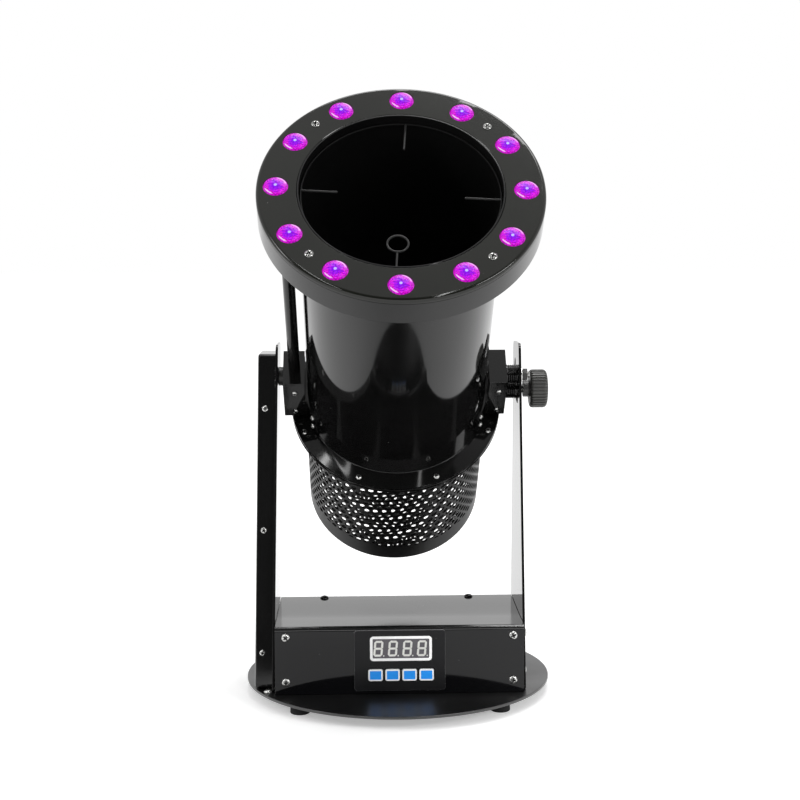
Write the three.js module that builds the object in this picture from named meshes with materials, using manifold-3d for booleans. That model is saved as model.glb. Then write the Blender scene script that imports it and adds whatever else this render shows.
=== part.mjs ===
// Confetti blower: a fan barrel with a lamp ring at its mouth, tilting between two arms on a round base.
// Millimetres, +Z up, front towards -Y, origin at the centre of the underside of the base disc.
import * as THREE from "three";
import { mergeVertices } from "three/addons/utils/BufferGeometryUtils.js";
import Module from "manifold-3d";

const wasm = await Module();
wasm.setup();

// Fits and cuts
const seatGap = 0.3;
const runningGap = 0.4;
const cutOverrun = 1;
const quarterTurn = Math.PI / 2;
const fullTurn = Math.PI * 2;

// Base disc and its rubber feet
const discMargin = 29;
const discThickness = 2.5;
const discEdge = 0.5;
const footHeight = 9.7;
const footRadius = 8.6;
const footChamfer = 2.4;
const footAcross = 86.6;
const footFore = 83.5;
const footStemRadius = 2.5;
const footStemLength = 1.5;
const discTop = footHeight + discThickness;
const boxFloor = discTop + seatGap;

// Barrel tube, which the width of the whole blower follows
const tubeRadius = 80.2;
const tubeWall = 1.3;
const tubeFlangeWidth = 15.3;
const flangeLevel = -39.5;
const flangeThickness = 2.2;
const mouthLevel = 240.8;

// Pivot blocks on the sides of the tube, and the spacers between them and the arms
const blockRightReach = 17.8;
const blockLeftReach = 20.8;
const blockInnerReach = 1.8;
const blockHalfDepth = 18.5;
const blockMouthEnd = 13;
const blockFanEnd = -35;
const saddleThickness = 2.2;
const saddleLength = 23;
const saddleHalfAngle = THREE.MathUtils.degToRad(29);
const spacerLength = 10.2;
const tubeFlangeRadius = tubeRadius + tubeFlangeWidth;
const blockRightFace = tubeRadius + blockRightReach;
const blockLeftFace = tubeRadius + blockLeftReach;
const blockInnerFace = tubeRadius + blockInnerReach;

// Control box of folded sheet, as wide as the barrel with its spacers
const boxSide = blockRightFace + spacerLength + seatGap;
const boxWidth = boxSide * 2;
const discRadius = boxSide + discMargin;
const boxDepth = 115;
const boxHeight = 60;
const boxFront = -72.5;
const boxSheet = 1.5;
const boxLip = 3.4;
const boxBendRadius = 3;
const boxTop = discTop + boxHeight;
const boxBack = boxFront + boxDepth;
const insideSide = boxSide - boxSheet;

// Front panel and the tabs that its screws go into
const panelThickness = 1.5;
const panelScrewInset = 9.5;
const panelScrewRise = 11.3;
const panelScrewDrop = 9;
const panelScrewRadius = 1.9;
const panelTab = 10;
const panelHoleMargin = 3.5;
const panelHoleGap = 1;
const panelScrewAcross = boxSide - panelScrewInset;
const panelScrewLow = discTop + panelScrewRise;
const panelScrewHigh = boxTop - panelScrewDrop;

// Display bezel, window and push buttons
const bezelWidth = 79;
const bezelMargin = 6.5;
const bezelLift = 0.3;
const bezelHeight = boxHeight - bezelMargin;
const bezelMiddle = discTop + boxHeight / 2 + bezelLift;
const bezelThickness = 1.8;
const bezelCorner = 2.5;
const windowWidth = 50.4;
const windowHeight = 18.4;
const windowRise = 10.6;
const windowMiddle = bezelMiddle + windowRise;
const windowThickness = 1.5;
const displayOffset = 1;
const buttonWidth = 12.5;
const buttonHeight = 10.2;
const buttonPitch = 14.8;
const buttonDrop = 12.8;
const buttonMiddle = bezelMiddle - buttonDrop;
const buttonProud = 0.8;
const buttonCorner = 1.8;
const buttonStemRadius = 1.8;
const buttonTravel = 0.5;
const stemGap = 0.15;
const buttonFlange = 1;
const buttonFlangeThickness = 0.8;

// Display board behind the panel
const boardThickness = 1.6;
const boardWidth = 70;
const boardMargin = 7.5;
const boardHeight = bezelHeight - boardMargin;
const boardSetback = 10.5;
const digitBlockHeight = 19;
const digitBlockDepth = 8;
const switchSize = 6;
const switchPost = 3;

// Works inside the control box
const worksFrontGap = 18.5;
const worksRearGap = 26.5;
const supplySideGap = 7;
const supplyMiddleGap = 4;
const supplyHeight = 32;
const driverSideGap = 11;
const driverMiddleGap = 12;
const driverInsetDepth = 4;
const supplyDepth = boxDepth - worksFrontGap - worksRearGap;
const worksBack = boxFront + worksFrontGap + supplyDepth / 2;
const supplyWidth = insideSide - supplySideGap - supplyMiddleGap;
const supplySide = supplySideGap + supplyWidth / 2 - insideSide;
const driverWidth = insideSide - driverSideGap - driverMiddleGap;
const driverDepth = supplyDepth - driverInsetDepth;
const driverSide = insideSide - driverSideGap - driverWidth / 2;
const driverStand = 6;
const driverStandRadius = 3;
const driverInset = 6;
const capacitorRadius = 8;
const capacitorHeight = 24;
const capacitorPitch = 24;
const capacitorFore = 11;
const heatSinkHeight = 26;
const heatSinkDepth = 12;

// Sockets on the rear wall
const inletInset = 36.5;
const inletSide = boxSide - inletInset;
const inletWidth = 27;
const inletHeight = 20;
const inletDepth = 20;
const inletFlangeWidth = 48;
const inletFlangeHeight = 24;
const inletRecess = 14;
const inletWall = 2;
const inletPinWidth = 2;
const inletPinSpread = 7;
const socketMiddle = discTop + boxHeight / 2;
const dataSocketInset = 52.5;
const dataSocketPitch = 34;
const dataSocketRadius = 11;
const dataSocketDepth = 22;
const dataSocketFlange = 26;
const dataSocketRecess = 12;
const dataSocketBore = 8.5;
const dataPinRadius = 1.2;
const dataPinCircle = 4.8;
const socketFlangeThickness = 2;

// Side arms
const armThickness = 2.2;
const armFootFront = -66;
const armFootBack = 50;
const earFront = -15.5;
const earBack = 31;
const earAbovePivot = 28.5;
const earCorner = 7;
const footCorner = 3;
const armLean = THREE.MathUtils.degToRad(0.85);

// Wiring duct on the outside of the left arm
const ductDepth = 15.2;
const ductWall = 1.2;
const ductBelowEar = 8;
const ductFootSetback = 8;
const ductBend = 2;
const cableRadius = 3;
const cableHoleRadius = 6;
const cableSlack = 0.9;
const cableInsideLength = 12;
const cableSteps = 30;
const cableHoleRise = 38;
const cableHoleHeight = discTop + cableHoleRise;
const cableBack = -6;

// Pivot of the barrel
const pivotRise = 273;
const pivotHeight = discTop + pivotRise;
const pivotBack = -6;
const barrelTilt = THREE.MathUtils.degToRad(48.4);
const tiltBack = THREE.MathUtils.degToRad(48.4);
const tiltForward = THREE.MathUtils.degToRad(65);
const pivotBoltRadius = 3;
const pivotSpacerRadius = 9;
const pivotNutAcross = 10;
const pivotNutThickness = 4.4;
const pivotBoltEnd = 2;
const washerThickness = 1.5;
const washerRadius = 7;
const bushCollarRadius = 8.5;
const bushNeckRadius = 6.5;
const bushBoreRadius = 4.4;
const bushNeckLength = 6;
const bushRingRadius = 10;
const bushRingThickness = 3;

// Lock stud and knob, in an arc slot of the right arm
const lockReach = 21.5;
const lockStudRadius = 4;
const studSeat = 10;
const lockSpacerRadius = 9;
const slotMarginAngle = THREE.MathUtils.degToRad(3);
const knobStandoff = 4.5;
const knobHubRadius = 7.5;
const knobHubLength = 5.7;
const knobRadius = 17.4;
const knobLength = 15.9;
const knobBevel = 2.4;
const knobRibs = 24;
const knobRibDepth = 0.9;
const knobBoreDepth = 9;

// Lamp ring at the mouth
const ringWidth = 31.5;
const ringHeight = 27.8;
const ringWall = 1.8;
const ringFaceThickness = 2;
const ringFaceSkirt = 6;
const ringFaceRound = 2.8;
const lampCount = 12;
const lampInset = 16.3;
const lampRadius = 9.2;
const lampFlange = 1.6;
const lampFlangeThickness = 1.2;
const lampProud = 0.4;
const lampDome = 1.4;
const lampTurn = THREE.MathUtils.degToRad(-1.45);
const ringScrewCount = 4;
const pillarRadius = 4.5;
const pillarNeckRadius = 3;
const lampBoardInset = 4.8;
const lampBoardWidth = 23;
const lampBoardDepth = 9;
const emitterRadius = 4;
const emitterHeight = 2;
const ringRadius = tubeRadius + ringWidth;
const lampCircle = tubeRadius + lampInset;
const lampBoardInner = tubeRadius + lampBoardInset;
const lampBoardOuter = lampBoardInner + lampBoardWidth;

// Conduit that carries the lamp leads down to the left pivot block
const conduitGap = 10.8;
const conduitSide = -tubeRadius - conduitGap;
const conduitRadius = 5.2;
const conduitBore = 4;

// Guard wires just inside the mouth
const guardDepth = 8;
const guardWireCount = 4;
const guardWireRadius = 1;
const guardReach = 28.5;
const guardEyeRadius = 9;
const guardEyeInset = 30.2;
const guardEyeReach = tubeRadius - guardEyeInset;
const guardTurn = THREE.MathUtils.degToRad(-4);

// Screen that keeps the confetti above the fan
const screenLevel = 16;
const screenThickness = 1.2;
const screenSkirt = 8;
const screenHoleRadius = 8;
const screenRings = 2;
const screenRimWidth = 18.9;

// Fan, shaft and motor
const fanTipClearance = 3;
const fanHubRadius = 25;
const fanHubHeight = 26;
const fanWall = 2;
const fanAboveSpider = 4;
const fanBlades = 7;
const bladeThickness = 2.2;
const bladeChord = 30;
const bladeRootAngle = THREE.MathUtils.degToRad(50);
const bladeTipAngle = THREE.MathUtils.degToRad(24);
const bladeSteps = 4;
const shaftRadius = 4;
const shaftInMotor = 34;
const motorRadius = 31;
const motorLength = 84;
const motorBossRadius = 12;
const motorBossHeight = 5;
const motorEdge = 3;
const spiderThickness = 2;
const spiderArms = 4;
const spiderArmWidth = 13;
const spiderHubRadius = 36;
const spiderRimWidth = 22.5;
const spiderRimInner = tubeFlangeRadius - spiderRimWidth;

// Air cage round the motor
const cageClearance = 2.5;
const cageRadius = tubeRadius + cageClearance;
const cageWall = 1.2;
const cageEnd = -183.8;
const cageFlangeThickness = 1.5;
const cageSides = 24;
const cageHoleRadius = 7.5;
const cageRows = 4;
const cageRowPitch = 24;
const cageBand = 21;
const cageLip = 6;
const endHoleRadius = 8;
const endHoleRings = 2;
const endRimWidth = 22.7;

// Roundness, in sides, of large, middling and small round pieces
const largeSides = 40;
const middleSides = 28;
const smallSides = 14;
const fineSides = 8;
const wireSides = 5;
const meshHoleSides = 4;
const cornerSteps = 5;

// Finishes
function finish(colour, roughness, metalness) {
  return new THREE.MeshStandardMaterial({ color: colour, roughness, metalness });
}

const glossBlack = finish(0x0b0b0b, 0.12, 0.2);
const satinBlack = finish(0x2a2a28, 0.4, 0.2);
const blackRubber = finish(0x151515, 0.85, 0);
const brightSteel = finish(0xc9c9c6, 0.2, 1);
const darkPlastic = finish(0x1a1a1a, 0.5, 0);
const smokedWindow = finish(0x2b2a2b, 0.1, 0);
const bluePlastic = finish(0x1696ff, 0.35, 0);
const lampPink = finish(0xf0359a, 0.15, 0);
const circuitGreen = finish(0x1f5a33, 0.5, 0);
const bareAluminium = finish(0xa9acae, 0.4, 1);

// Solids and shapes
function solidFrom(geometry) {
  const bare = geometry.index ? geometry.toNonIndexed() : geometry.clone();
  bare.deleteAttribute("normal");
  bare.deleteAttribute("uv");
  const welded = mergeVertices(bare);
  const mesh = new wasm.Mesh({
    numProp: 3,
    vertProperties: new Float32Array(welded.attributes.position.array),
    triVerts: new Uint32Array(welded.index.array),
  });
  return new wasm.Manifold(mesh);
}

function geometryFrom(solid) {
  const { vertProperties, triVerts } = solid.getMesh();
  const geometry = new THREE.BufferGeometry();
  geometry.setAttribute("position", new THREE.BufferAttribute(new Float32Array(vertProperties), 3));
  geometry.setIndex(new THREE.BufferAttribute(new Uint32Array(triVerts), 1));
  geometry.computeVertexNormals();
  return geometry;
}

function join(...geometries) {
  const solids = geometries.map(solidFrom);
  return geometryFrom(solids.reduce((whole, next) => whole.add(next)));
}

function cut(geometry, ...cutters) {
  const solids = cutters.map(solidFrom);
  return geometryFrom(solids.reduce((whole, next) => whole.subtract(next), solidFrom(geometry)));
}

function shared(geometry, other) {
  return geometryFrom(solidFrom(geometry).intersect(solidFrom(other)));
}

// A box between two values along each axis.
function slab([x0, x1], [y0, y1], [z0, z1]) {
  const box = new THREE.BoxGeometry(x1 - x0, y1 - y0, z1 - z0);
  return box.translate((x0 + x1) / 2, (y0 + y1) / 2, (z0 + z1) / 2);
}

// A profile of [radius, height] pairs turned about Z.
function turned(profile, sides) {
  const points = profile.map(([radius, height]) => new THREE.Vector2(radius, height));
  return new THREE.LatheGeometry(points, sides).rotateX(quarterTurn);
}

function closed(profile) {
  return [...profile, profile[0]];
}

function rod(radius, z0, z1, sides) {
  return turned([[0, z0], [radius, z0], [radius, z1], [0, z1]], sides);
}

function tube(inner, outer, z0, z1, sides) {
  return turned(closed([[inner, z0], [outer, z0], [outer, z1], [inner, z1]]), sides);
}

// What stands along Z is laid along X.
function alongX(geometry) {
  return geometry.rotateY(quarterTurn);
}

// A cylinder along Y between two depths, at a place on the front.
function pin(radius, x, [y0, y1], z, sides) {
  return rod(radius, -y1, -y0, sides).rotateX(quarterTurn).translate(x, 0, z);
}

// An outline with round corners from [across, up, corner radius] triples, anticlockwise.
function roundedOutline(corners) {
  const shape = new THREE.Shape();
  corners.forEach(([x, y, radius], i) => {
    const corner = new THREE.Vector2(x, y);
    const before = new THREE.Vector2(...corners.at(i - 1));
    const after = new THREE.Vector2(...corners[(i + 1) % corners.length]);
    const back = before.sub(corner).normalize();
    const on = after.sub(corner).normalize();
    const half = Math.acos(back.dot(on)) / 2;
    const reach = radius / Math.tan(half);
    const centre = back.clone().add(on).normalize().multiplyScalar(radius / Math.sin(half)).add(corner);
    const enter = back.multiplyScalar(reach).add(corner).sub(centre);
    const leave = on.multiplyScalar(reach).add(corner).sub(centre);
    shape.absarc(centre.x, centre.y, radius, enter.angle(), leave.angle(), false);
  });
  return shape;
}

function roundedRectangle(width, height, radius) {
  const w = width / 2;
  const h = height / 2;
  return roundedOutline([[w, -h, radius], [w, h, radius], [-w, h, radius], [-w, -h, radius]]);
}

function extruded(shape, depth, curveSegments = 3) {
  return new THREE.ExtrudeGeometry(shape, { depth, bevelEnabled: false, curveSegments });
}

// A plate whose outline lies in X and Z, from its front depth backwards.
function frontPlate(shape, front, thickness, x, z, curveSegments) {
  const plate = extruded(shape, thickness, curveSegments).rotateX(quarterTurn);
  return plate.translate(x, front + thickness, z);
}

// A plate whose outline lies in Y and Z, from x towards +X.
const toSide = new THREE.Matrix4().makeBasis(
  new THREE.Vector3(0, 1, 0),
  new THREE.Vector3(0, 0, 1),
  new THREE.Vector3(1, 0, 0),
);

function sidePlate(shape, x, thickness, curveSegments) {
  return extruded(shape, thickness, curveSegments).applyMatrix4(toSide).translate(x, 0, 0);
}

function around(count, make) {
  return Array.from({ length: count }, (_, i) => make((fullTurn * i) / count, i));
}

function mesh(name, geometry, material) {
  const piece = new THREE.Mesh(geometry, material);
  piece.name = name;
  return piece;
}

const whole = new THREE.Group();
const blower = new THREE.Group();
blower.position.z = -footHeight;
whole.add(blower);

const barrel = new THREE.Group();
barrel.position.set(0, pivotBack, pivotHeight);
barrel.rotation.x = barrelTilt;
blower.add(barrel);

function addFixed(name, geometry, material) {
  blower.add(mesh(name, geometry, material));
}

function addTilting(name, geometry, material) {
  barrel.add(mesh(name, geometry, material));
}

// Base disc, with a blind hole over each foot
function baseDisc() {
  const disc = turned(
    [
      [0, footHeight],
      [discRadius - discEdge, footHeight],
      [discRadius, footHeight + discEdge],
      [discRadius, discTop - discEdge],
      [discRadius - discEdge, discTop],
      [0, discTop],
    ],
    largeSides,
  );
  const hole = () => rod(footStemRadius + seatGap, footHeight - cutOverrun,
    footHeight + footStemLength, fineSides);
  const holes = footPlaces.map(([x, y]) => hole().translate(x, y, 0));
  return cut(disc, ...holes);
}

// Rubber foot with a stem into the disc
function rubberFoot() {
  const top = footHeight - seatGap;
  return turned(
    [
      [0, 0],
      [footRadius - footChamfer, 0],
      [footRadius, footChamfer],
      [footRadius, top],
      [footStemRadius, top],
      [footStemRadius, top + footStemLength],
      [0, top + footStemLength],
    ],
    smallSides,
  );
}

const footPlaces = [
  [-footAcross, -footFore],
  [footAcross, -footFore],
  [footAcross, footFore],
  [-footAcross, footFore],
];
addFixed("base_disc", baseDisc(), glossBlack);
footPlaces.forEach(([x, y], i) => {
  addFixed(`rubber_foot_${i + 1}`, rubberFoot().translate(x, y, 0), blackRubber);
});

// Control box cover: top, sides and back in one sheet, with a rounded front lip and four screw tabs
const panelScrews = [
  [-panelScrewAcross, panelScrewLow],
  [panelScrewAcross, panelScrewLow],
  [-panelScrewAcross, panelScrewHigh],
  [panelScrewAcross, panelScrewHigh],
];
const panelBack = boxFront + panelThickness;

function socketHoles() {
  const wall = [boxBack - boxSheet - cutOverrun, boxBack + cutOverrun];
  const half = inletWidth / 2 + seatGap;
  const rise = inletHeight / 2 + seatGap;
  const inlet = slab([inletSide - half, inletSide + half], wall,
    [socketMiddle - rise, socketMiddle + rise]);
  const rounds = dataSocketPlaces.map((x) =>
    pin(dataSocketRadius + seatGap, x, wall, socketMiddle, smallSides));
  return [inlet, ...rounds];
}

function boxCover() {
  const corner = boxBendRadius;
  const shape = new THREE.Shape();
  shape.moveTo(boxFront, boxFloor);
  shape.lineTo(boxBack, boxFloor);
  shape.lineTo(boxBack, boxTop);
  shape.lineTo(boxFront + corner, boxTop);
  shape.absarc(boxFront + corner, boxTop - corner, corner, quarterTurn, Math.PI, false);
  shape.closePath();
  const inside = slab(
    [-insideSide, insideSide],
    [boxFront + boxSheet, boxBack - boxSheet],
    [boxFloor - cutOverrun, boxTop - boxSheet],
  );
  const frontOpening = slab(
    [-boxSide - cutOverrun, boxSide + cutOverrun],
    [boxFront - cutOverrun, panelBack + seatGap],
    [boxFloor - cutOverrun, boxTop - boxLip],
  );
  const leadHole = alongX(rod(cableRadius + cableSlack, -boxSide - cutOverrun,
    -insideSide + cutOverrun, fineSides));
  const shell = cut(sidePlate(shape, -boxSide, boxWidth, 4), inside, frontOpening,
    leadHole.translate(0, cableBack, cableHoleHeight), ...socketHoles());
  const tabs = panelScrews.map(([x, z]) => {
    const side = Math.sign(x);
    const ends = [side * (insideSide + boxSheet / 2), x - (side * panelTab) / 2].sort((a, b) => a - b);
    return slab(ends, [panelBack + seatGap, panelBack + panelTab], [z - panelTab / 2, z + panelTab / 2]);
  });
  const holes = panelScrews.map(([x, z]) =>
    pin(panelScrewRadius + seatGap, x, [boxFront, panelBack + panelTab + cutOverrun], z, fineSides));
  return cut(join(shell, ...tabs), ...holes);
}

// Front panel with an opening behind the bezel
function frontPanel() {
  const top = boxTop - boxLip - seatGap;
  const height = top - boxFloor;
  const plate = slab([-boxSide, boxSide], [boxFront, panelBack], [boxFloor, boxFloor + height]);
  const holeWidth = bezelWidth / 2 - panelHoleMargin;
  const holeBottom = buttonMiddle - buttonHeight / 2 - buttonFlange - panelHoleGap;
  const holeTop = windowMiddle + digitBlockHeight / 2 + panelHoleGap;
  const opening = slab([-holeWidth, holeWidth], [boxFront - cutOverrun, panelBack + cutOverrun],
    [holeBottom, holeTop]);
  const holes = panelScrews.map(([x, z]) =>
    pin(panelScrewRadius + seatGap, x, [boxFront - cutOverrun, panelBack + cutOverrun], z, fineSides));
  return cut(plate, opening, ...holes);
}

const dataSocketSide = dataSocketInset - boxSide;
const dataSocketPlaces = [dataSocketSide, dataSocketSide + dataSocketPitch];
addFixed("control_box_cover", boxCover(), glossBlack);
addFixed("front_panel", frontPanel(), glossBlack);

// Display bezel with the openings for the window and the four buttons
const bezelBack = boxFront - seatGap;
const bezelFront = bezelBack - bezelThickness;
const buttonShares = [-1.5, -0.5, 0.5, 1.5];
const buttonPlaces = buttonShares.map((share) => displayOffset + share * buttonPitch);

function displayBezel() {
  const plate = frontPlate(roundedRectangle(bezelWidth, bezelHeight, bezelCorner),
    bezelFront, bezelThickness, 0, bezelMiddle);
  const depth = bezelThickness + 2 * cutOverrun;
  const front = bezelFront - cutOverrun;
  const windowHole = frontPlate(roundedRectangle(windowWidth, windowHeight, bezelCorner / 2),
    front, depth, displayOffset, windowMiddle);
  const keyHoles = buttonPlaces.map((x) =>
    frontPlate(
      roundedRectangle(buttonWidth + 2 * runningGap, buttonHeight + 2 * runningGap, buttonCorner),
      front, depth, x, buttonMiddle,
    ));
  return cut(plate, windowHole, ...keyHoles);
}

function displayWindow() {
  const inset = 2 * seatGap;
  const shape = roundedRectangle(windowWidth - inset, windowHeight - inset, bezelCorner / 2);
  return frontPlate(shape, bezelFront + seatGap, windowThickness, displayOffset, windowMiddle);
}

// Push button: a cap through the bezel, a flange behind it and a stem towards its switch
const boardFront = panelBack + boardSetback;
const switchFront = boardFront - switchPost;

function pushButton(x) {
  const capFront = bezelFront - buttonProud;
  const capDepth = buttonProud + bezelThickness + seatGap;
  const capOutline = roundedRectangle(buttonWidth, buttonHeight, buttonCorner);
  const cap = frontPlate(capOutline, capFront, capDepth, 0, 0);
  const flangeBack = capFront + capDepth + buttonFlangeThickness;
  const half = buttonWidth / 2 + buttonFlange / 2;
  const rise = buttonHeight / 2 + buttonFlange;
  const flange = slab([-half, half], [capFront + capDepth, flangeBack], [-rise, rise]);
  const stemEnd = switchFront - buttonTravel - stemGap;
  const stem = pin(buttonStemRadius, 0, [flangeBack - seatGap, stemEnd], 0, fineSides);
  return join(cap, flange, stem).translate(x, 0, buttonMiddle);
}

// Circuit board with a switch behind each button and stand-offs to the panel
function displayBoard() {
  const middle = bezelMiddle;
  const board = slab([-boardWidth / 2, boardWidth / 2], [boardFront, boardFront + boardThickness],
    [middle - boardHeight / 2, middle + boardHeight / 2]);
  const half = switchSize / 2;
  const switches = buttonPlaces.map((x) =>
    slab([x - half, x + half], [switchFront, boardFront + boardThickness / 2],
      [buttonMiddle - half, buttonMiddle + half]));
  const edge = boardWidth / 2 - driverStandRadius;
  const standHeight = bezelHeight / 2 - driverStandRadius;
  const stands = [-edge, edge].flatMap((x) =>
    [-1, 1].map((side) => {
      const z = middle + side * standHeight;
      return pin(driverStandRadius, x, [panelBack + seatGap, boardFront + boardThickness], z, fineSides);
    }));
  return join(board, ...switches, ...stands);
}

// Block of four digits behind the window
function digitDisplay() {
  const half = windowWidth / 2 - seatGap;
  const back = boardFront - seatGap;
  const rise = digitBlockHeight / 2;
  return slab([displayOffset - half, displayOffset + half], [back - digitBlockDepth, back],
    [windowMiddle - rise, windowMiddle + rise]);
}

addFixed("display_bezel", displayBezel(), darkPlastic);
addFixed("display_window", displayWindow(), smokedWindow);
buttonPlaces.forEach((x, i) => addFixed(`button_${i + 1}`, pushButton(x), bluePlastic));
addFixed("display_board", displayBoard(), circuitGreen);
addFixed("digit_display", digitDisplay(), darkPlastic);

// Power supply in its own folded case, and the driver board with its heat sink and capacitors
function powerSupply() {
  const half = supplyWidth / 2;
  const depth = supplyDepth / 2;
  const top = boxFloor + supplyHeight;
  const corner = boxBendRadius;
  const outline = roundedOutline([
    [half, boxFloor, corner],
    [half, top, corner],
    [-half, top, corner],
    [-half, boxFloor, corner],
  ]);
  return frontPlate(outline, worksBack - depth, supplyDepth, supplySide, 0);
}

function driverBoard() {
  const half = driverWidth / 2;
  const depth = driverDepth / 2;
  const low = boxFloor + driverStand;
  const top = low + boardThickness;
  const board = slab([-half, half], [-depth, depth], [low, top]);
  const stands = [-1, 1].flatMap((sx) => [-1, 1].map((sy) =>
    rod(driverStandRadius, boxFloor, top, fineSides)
      .translate(sx * (half - driverInset), sy * (depth - driverInset), 0)));
  const sink = slab([-half + driverInset, half - driverInset],
    [depth - driverInset - heatSinkDepth, depth - driverInset], [low, top + heatSinkHeight]);
  const capacitors = [-1, 0, 1].map((place) =>
    rod(capacitorRadius, low, top + capacitorHeight, fineSides)
      .translate(place * capacitorPitch, -capacitorFore, 0));
  return join(board, ...stands, sink, ...capacitors).translate(driverSide, worksBack, 0);
}

// Mains inlet: a flanged body through the rear wall, its recess open to the back, with three blades
function mainsInlet() {
  const half = inletWidth / 2;
  const rise = inletHeight / 2;
  const face = boxBack + seatGap;
  const body = slab([-half, half], [boxBack - inletDepth, face + socketFlangeThickness / 2], [-rise, rise]);
  const flange = slab([-inletFlangeWidth / 2, inletFlangeWidth / 2], [face, face + socketFlangeThickness],
    [-inletFlangeHeight / 2, inletFlangeHeight / 2]);
  const rear = face + socketFlangeThickness;
  const recess = slab([-half + inletWall, half - inletWall], [rear - inletRecess, rear + cutOverrun],
    [-rise + inletWall, rise - inletWall]);
  const blades = [-1, 0, 1].map((place) => {
    const x = place * inletPinSpread;
    return slab([x - inletPinWidth / 2, x + inletPinWidth / 2],
      [rear - inletRecess - inletWall / 2, rear - inletWall], [-inletPinWidth, inletPinWidth]);
  });
  return join(cut(join(body, flange), recess), ...blades).translate(inletSide, 0, socketMiddle);
}

// Round data socket: one with pins for the lead that comes in, one with sleeves for the lead that goes on
function dataSocket(x, hasPins) {
  const face = boxBack + seatGap;
  const rear = face + socketFlangeThickness;
  const body = pin(dataSocketRadius, 0, [boxBack - dataSocketDepth, face + socketFlangeThickness / 2], 0,
    smallSides);
  const half = dataSocketFlange / 2;
  const flange = slab([-half, half], [face, rear], [-half, half]);
  const hollow = pin(dataSocketBore, 0, [rear - dataSocketRecess, rear + cutOverrun], 0, smallSides);
  const contactAngles = around(3, (angle) => angle + quarterTurn);
  const contact = (radius, ends) => contactAngles.map((angle) =>
    pin(radius, Math.cos(angle) * dataPinCircle, ends, Math.sin(angle) * dataPinCircle, fineSides));
  const ends = [rear - dataSocketRecess - inletWall, rear - inletWall];
  const shell = cut(join(body, flange), hollow);
  if (hasPins)
    return join(shell, ...contact(dataPinRadius, ends)).translate(x, 0, socketMiddle);
  const plug = pin(dataSocketBore - inletWall, 0, ends, 0, smallSides);
  const filled = join(shell, plug);
  const sleeveEnds = [ends[1] - dataSocketRecess / 2, ends[1] + cutOverrun];
  const sleeves = contact(dataPinRadius + runningGap, sleeveEnds);
  return cut(filled, ...sleeves).translate(x, 0, socketMiddle);
}

addFixed("power_supply", powerSupply(), bareAluminium);
addFixed("driver_board", driverBoard(), circuitGreen);
addFixed("mains_inlet", mainsInlet(), darkPlastic);
addFixed("data_socket_in", dataSocket(dataSocketPlaces[0], true), brightSteel);
addFixed("data_socket_out", dataSocket(dataSocketPlaces[1], false), brightSteel);

// Side arms: tapering plates with a rounded ear, bolted to the sides of the control box
const armInner = boxSide + seatGap;
const armOuter = armInner + armThickness;
const earTop = pivotHeight + earAbovePivot;
const leanReach = (pivotHeight - boxTop) * Math.sin(armLean);

// The left arm and its duct lean inwards from the top edge of the box.
const leftSide = new THREE.Group();
leftSide.position.set(-armInner, 0, boxTop);
leftSide.rotation.y = armLean;
blower.add(leftSide);

function addLeaning(name, geometry, material) {
  leftSide.add(mesh(name, geometry.translate(armInner, 0, -boxTop), material));
}

// The outline of an arm, or of the duct on it, from the depth of its foot, drawn in from its edges.
function armOutline(footFront, inset, floor, top, corner) {
  const rise = earTop - boxFloor;
  const frontAt = (z) => footFront + ((earFront - footFront) * (z - boxFloor)) / rise + inset;
  const backAt = (z) => armFootBack + ((earBack - armFootBack) * (z - boxFloor)) / rise - inset;
  return roundedOutline([
    [frontAt(floor), floor, footCorner],
    [backAt(floor), floor, footCorner],
    [backAt(top), top, corner],
    [frontAt(top), top, corner],
  ]);
}

function pivotHole(radius) {
  const hole = alongX(rod(radius, -armOuter - ductDepth, armOuter + cutOverrun, smallSides));
  return hole.translate(0, pivotBack, pivotHeight);
}

// The arc in which the lock stud travels as the barrel tilts.
function arcSlot() {
  const half = lockStudRadius + runningGap;
  const atRest = barrelTilt - quarterTurn;
  const start = atRest - tiltBack - slotMarginAngle;
  const end = atRest + tiltForward + slotMarginAngle;
  const shape = new THREE.Shape();
  shape.absarc(0, 0, lockReach + half, start, end, false);
  const far = [Math.cos(end) * lockReach, Math.sin(end) * lockReach];
  shape.absarc(...far, half, end, end + Math.PI, false);
  shape.absarc(0, 0, lockReach - half, end, start, true);
  const near = [Math.cos(start) * lockReach, Math.sin(start) * lockReach];
  shape.absarc(...near, half, start + Math.PI, start + fullTurn, false);
  const length = armThickness + 2 * cutOverrun;
  return sidePlate(shape, armInner - cutOverrun, length, 10).translate(0, pivotBack, pivotHeight);
}

function rightArm() {
  const outline = armOutline(armFootFront, 0, boxFloor, earTop, earCorner);
  const plate = sidePlate(outline, armInner, armThickness, cornerSteps);
  return cut(plate, pivotHole(pivotBoltRadius + runningGap), arcSlot());
}

function leftArm() {
  const outline = armOutline(armFootFront, 0, boxFloor, earTop, earCorner);
  const plate = sidePlate(outline, -armOuter, armThickness, cornerSteps);
  const leadHole = alongX(rod(cableHoleRadius, -armOuter - cutOverrun, -armInner + cutOverrun, fineSides));
  return cut(plate, pivotHole(bushNeckRadius + runningGap),
    leadHole.translate(0, cableBack, cableHoleHeight));
}

// Wiring duct: a shallow tray with bent edges, open towards the arm
const ductTop = earTop - ductBelowEar;
const ductFoot = armFootFront + ductFootSetback;
const ductOuter = armOuter + seatGap + ductDepth;

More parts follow.
